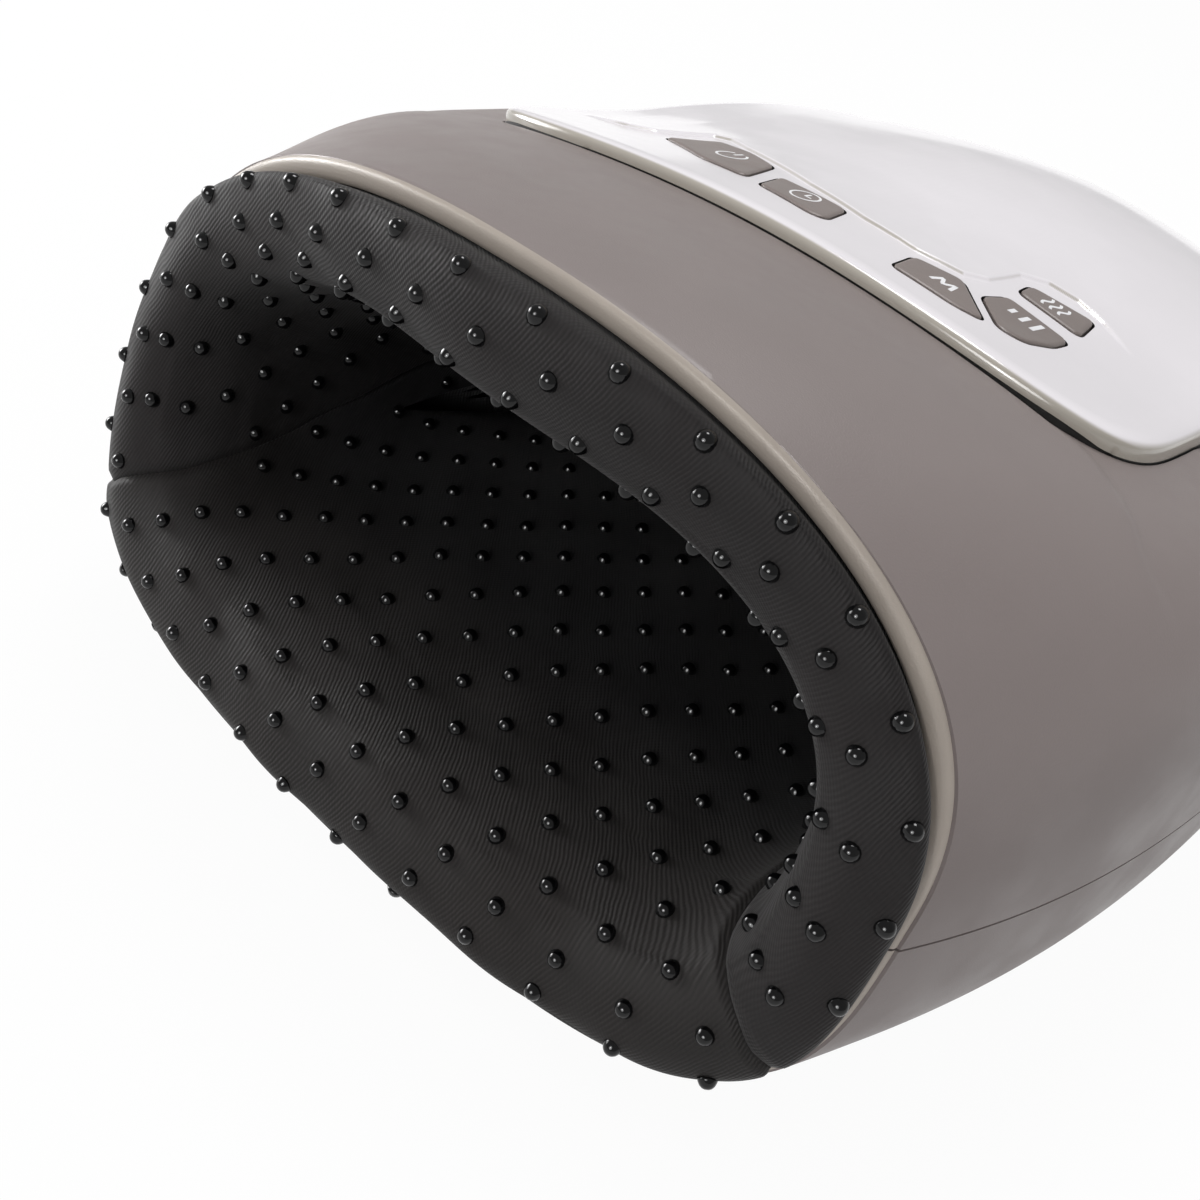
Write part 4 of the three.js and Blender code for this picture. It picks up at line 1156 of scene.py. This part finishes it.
def twill_cloth(name, light, dark, inner):
    """Black twill with fine diagonal ribs; a painted shade, the inner tone, takes over deeper in the tunnel.
    """
    finish = Finish(name)
    x, y, z = finish.axes(finish.place())
    wander = finish.noise(160.0, 2.0) * 0.0012
    ribs = ((x + y * 0.9 - z * 0.7 + wander) * 9000.0).sine() * 0.5 + 0.5
    threads = ((x - y * 0.8 + z * 0.9) * 9000.0).sine() * 0.5 + 0.5
    weave = ribs * 0.75 + threads * 0.25
    wear = finish.noise(55.0).mapped(0.35, 0.7)
    tone = finish.blend(weave * 0.55 + wear * 0.45, paint(dark), paint(light))
    # Painted shade: deeper in the tunnel the tone turns to the darker inner one.
    tone = finish.blend((y - z * 0.16).mapped(-0.094, -0.066), tone, paint(inner))
    return finish.surface(Base_Color=tone, Roughness=wear.mapped(0, 1, 0.62, 0.78),
                          Normal=finish.bump(weave, 0.00008, 0.8), Sheen_Weight=0.08, Sheen_Roughness=0.45,
                          Specular_IOR_Level=0.2)


def metal(name, light, dark, roughness):
    """Turned or drawn metal."""
    finish = Finish(name)
    brushed = finish.noise(900.0, 3.0)
    return finish.surface(Base_Color=finish.blend(brushed.mapped(0.35, 0.65), paint(dark), paint(light)),
                          Roughness=brushed.mapped(0.3, 0.7, roughness - 0.08, roughness + 0.08),
                          Metallic=1.0, Normal=finish.bump(brushed, 0.00002))


print("makers:", cover_gloss.__name__, twill_cloth.__name__, metal.__name__)

# %% [markdown]
# Every finish has a light and a dark tone, close together, because one flat colour looks like paint
# on a screen and not like a thing.

# %% All finishes
# Light and dark tone, roughness and, where they differ, grain, shine and the painted shade of the
# undersides.
PLASTICS = {
    "taupe_shell": ((133, 123, 121), (130, 120, 118), 0.42, 40, 0.5, (108, 98, 96)),
    "rim_edge": ((172, 162, 152), (163, 153, 144), 0.4),
    "key_plastic": ((127, 116, 112), (120, 110, 106), 0.4, 30),
    "symbol_white": ((240, 240, 242), (232, 232, 235), 0.45, 4),
    "dot_gloss": ((8, 8, 9), (5, 5, 6), 0.06, 2, 0.32),
    # Painted shade: black for the gap under the cover's front edge and round the keys.
    "gap_painted_shade": ((20, 18, 17), (14, 13, 12), 0.6),
    "bag_film": ((70, 74, 80), (58, 62, 68), 0.35),
    "heater_film": ((150, 98, 48), (126, 80, 38), 0.3),
    "frame_plastic": ((212, 212, 206), (200, 200, 195), 0.5),
    "board_laminate": ((38, 104, 62), (28, 88, 50), 0.4),
    "switch_plastic": ((34, 34, 36), (26, 26, 28), 0.4),
    "pump_plastic": ((50, 52, 58), (40, 42, 48), 0.45),
    "hose_tube": ((216, 220, 220), (200, 205, 205), 0.3),
    "cell_sleeve": ((52, 100, 160), (42, 86, 144), 0.3),
    "foot_rubber": ((48, 46, 46), (38, 37, 37), 0.7, 60),
}
finishes = {name: moulded(name, *values) for name, values in PLASTICS.items()}
# The third tone of the cover and of each twill is its painted shade; the steel's last value is its
# roughness.
for maker, name, *values in (
        (cover_gloss, "gloss_cover", (239, 235, 239), (236, 232, 236), (176, 170, 160)),
        (twill_cloth, "twill_lining", (37, 34, 34), (21, 19, 19), (18, 16, 16)),
        (twill_cloth, "twill_floor", (38, 35, 34), (21, 19, 18), (18, 17, 18)),
        (metal, "bright_steel", (205, 207, 210), (176, 178, 182), 0.3)):
    finishes[name] = maker(name, *values)
print("finishes:", ", ".join(finishes))

# %% [markdown]
# ## Dressing the inside
# The pieces inside the case are shown as the CAD has them. Their meshes stay untouched, and each
# only gets the finish of what it is made of.

# %% CAD nodes
NODE_FINISHES = {
    "switch_": "switch_plastic", "board_screw": "bright_steel", "case_screw": "bright_steel",
    "key_board": "board_laminate", "finger_arch": "frame_plastic", "palm_tray": "frame_plastic",
    "pump_bracket": "frame_plastic", "pump_motor": "bright_steel", "pump_head": "pump_plastic",
    "pump_crank": "switch_plastic", "valve_": "pump_plastic", "plunger_": "bright_steel",
    "air_manifold": "pump_plastic", "hose_": "hose_tube", "battery_cell": "cell_sleeve",
    "battery_holder": "frame_plastic", "charge_socket": "switch_plastic", "foot_": "foot_rubber",
}
dressed = 0
for node_name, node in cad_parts.items():
    for start, material in NODE_FINISHES.items():
        if node_name.startswith(start):
            for slot in node.material_slots:
                slot.material = finishes[material]
            if not node.material_slots:
                node.data.materials.append(finishes[material])
            dressed += 1
print("CAD nodes dressed:", dressed, "of", len(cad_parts))

# %% [markdown]
# ## What rides on what
# The shells, the cover and the lining belong to the case, and each stands for its CAD node. Each key
# cap and its symbol move with the key's own body.

# %% Riding
def dress(piece, *looks):
    """Give a piece its materials, slot by slot."""
    slots = piece.data.materials
    while len(slots) < len(looks):
        slots.append(None)
    for i in range(len(slots)):
        slots[i] = finishes[looks[i] if i < len(looks) else looks[0]]


def settle(piece, body, slot, *replaced):
    """Say which body a piece rides on and the nodes that it stands for; the slot is not used."""
    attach(piece, body)
    if replaced:
        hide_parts(*replaced)


ROOT = "case"
# Piece, slot, nodes that it stands for, and materials.
CASE_PIECES = [
    (upper_shell, "taupe_shell", ["upper_shell"], "taupe_shell", "rim_edge"),
    (lower_shell, "taupe_shell", ["lower_shell"], "taupe_shell", "rim_edge"),
    (top_cover, "gloss_cover", ["top_cover"], "gloss_cover", "gap_painted_shade"),
    (roof_lining, "twill_lining", ["lining_roof"], "twill_lining"),
    (floor_lining, "twill_lining", ["lining_floor"], "twill_floor"),
    (roof_dots, "twill_lining", [], "dot_gloss"),
    (floor_dots, "twill_lining", [], "dot_gloss"),
    (upper_bag, "bag_film", ["airbag_upper"], "bag_film"),
    (lower_bag, "bag_film", ["airbag_lower"], "bag_film"),
    (palm_heater, "heater_film", ["heating_pad"], "heater_film"),
]
for piece, slot, replaced, *looks in CASE_PIECES:
    dress(piece, *looks)
    settle(piece, ROOT, slot, *replaced)
for name, key in keys.items():
    dress(key, "key_plastic")
    dress(symbols[name], "symbol_white")
    settle(key, "key_" + name, "key_plastic", "key_" + name)
    settle(symbols[name], "key_" + name, "key_plastic")
print("pieces settled:", len(CASE_PIECES) + 2 * len(keys))

# %% [markdown]
# ## Studio
# A white floor and a white world, as on a product photograph, with soft lamps above, at the left and
# low at the front. The floor looks white to the camera and still keeps the object's shadow. Two
# bright windows in the world are seen by glossy rays alone, so the dots and the cover get their
# highlights while the matt pieces stay as they are.

# %% Floor
FLOOR_GLOW = 0.95
FLOOR_REACH = 9


def white_ground():
    """White to the camera and in mirrors, paper to all other rays."""
    finish = Finish("studio_floor")
    rays = finish.node("ShaderNodeLightPath", output="Is Camera Ray")
    seen = rays.larger(rays.other("Is Glossy Ray"))
    card = finish.node("ShaderNodeBsdfDiffuse", {}, {"Color": (0.86, 0.86, 0.86, 1)})
    glow = finish.node("ShaderNodeEmission", {}, {"Color": (1, 1, 1, 1), "Strength": 1.0})
    finish.close(finish.node("ShaderNodeMixShader", {}, {0: seen * FLOOR_GLOW, 1: card, 2: glow}))
    return finish.material


floor_mesh = bpy.data.meshes.new("studio_floor")
corners = [(-FLOOR_REACH, -FLOOR_REACH, 0), (FLOOR_REACH, -FLOOR_REACH, 0),
           (FLOOR_REACH, FLOOR_REACH, 0), (-FLOOR_REACH, FLOOR_REACH, 0)]
floor_mesh.from_pydata(corners, [], [(0, 1, 2, 3)])
studio_floor = put_in_scene("studio_floor", floor_mesh)
floor_mesh.materials.append(white_ground())
print("floor staged:", studio_floor.name)


# %% [markdown]
# The world is white and even to the camera and dimmer to everything else, so that the pale cover
# still shows its form against it.

# %% World
class WorldFinish(Finish):
    """The world's nodes, with the same helpers as a material's."""

    def __init__(self, world):
        self.tree = world.node_tree
        self.tree.nodes.clear()
        self.output = self.tree.nodes.new("ShaderNodeOutputWorld")


SEEN_STRENGTH, LIT_STRENGTH, MIRRORED_LESS, WINDOW_STRENGTH = 1.0, 0.58, 0.14, 8.0
world = bpy.data.worlds.new("studio")
world.use_nodes = True
bpy.context.scene.world = world
sky = WorldFinish(world)
rays = sky.node("ShaderNodeLightPath", output="Is Camera Ray")
seen = rays.larger(rays.other("Is Transmission Ray"))
x, y, z = sky.axes(sky.node("ShaderNodeTexCoord", output="Generated"))
left_window = (x * -0.97 - y * 0.2 + z * 0.15).mapped(0.93, 0.97)
front_window = (x * 0.11 - y * 0.88 + z * 0.46).mapped(0.94, 0.975)
mirrored = (left_window + front_window) * WINDOW_STRENGTH - MIRRORED_LESS
strength = seen * (SEEN_STRENGTH - LIT_STRENGTH) + LIT_STRENGTH + rays.other("Is Glossy Ray") * mirrored
sky.close(sky.node("ShaderNodeBackground", {}, {"Color": (1, 1, 1, 1), "Strength": strength}))
print("world:", len(sky.tree.nodes), "nodes")

# %% [markdown]
# Three small soft boxes give direction: the top one models the case, the side one draws the edge of
# the roll, and the front one reaches into the tunnel.

# %% Lamps
LAMP_AIM = Vector((0, 0, 0.05))


def lamp(name, place, size, watts):
    """A square soft box, in metres, that points at the object."""
    light = bpy.data.lights.new(name, "AREA")
    light.shape = "SQUARE"
    light.size = size
    light.energy = watts
    item = put_in_scene(name, light)
    item.location = place
    item.rotation_euler = (LAMP_AIM - Vector(place)).to_track_quat("-Z", "Y").to_euler()


lamp("top_box", (-0.15, 0.25, 0.95), 0.3, 3.9)
lamp("side_box", (-0.85, -0.22, 0.2), 0.24, 2.6)
lamp("front_box", (0.12, -0.95, 0.5), 0.1, 1.5)
bpy.context.scene.view_settings.view_transform = "Standard"
print("lamps:", len(bpy.data.lights))
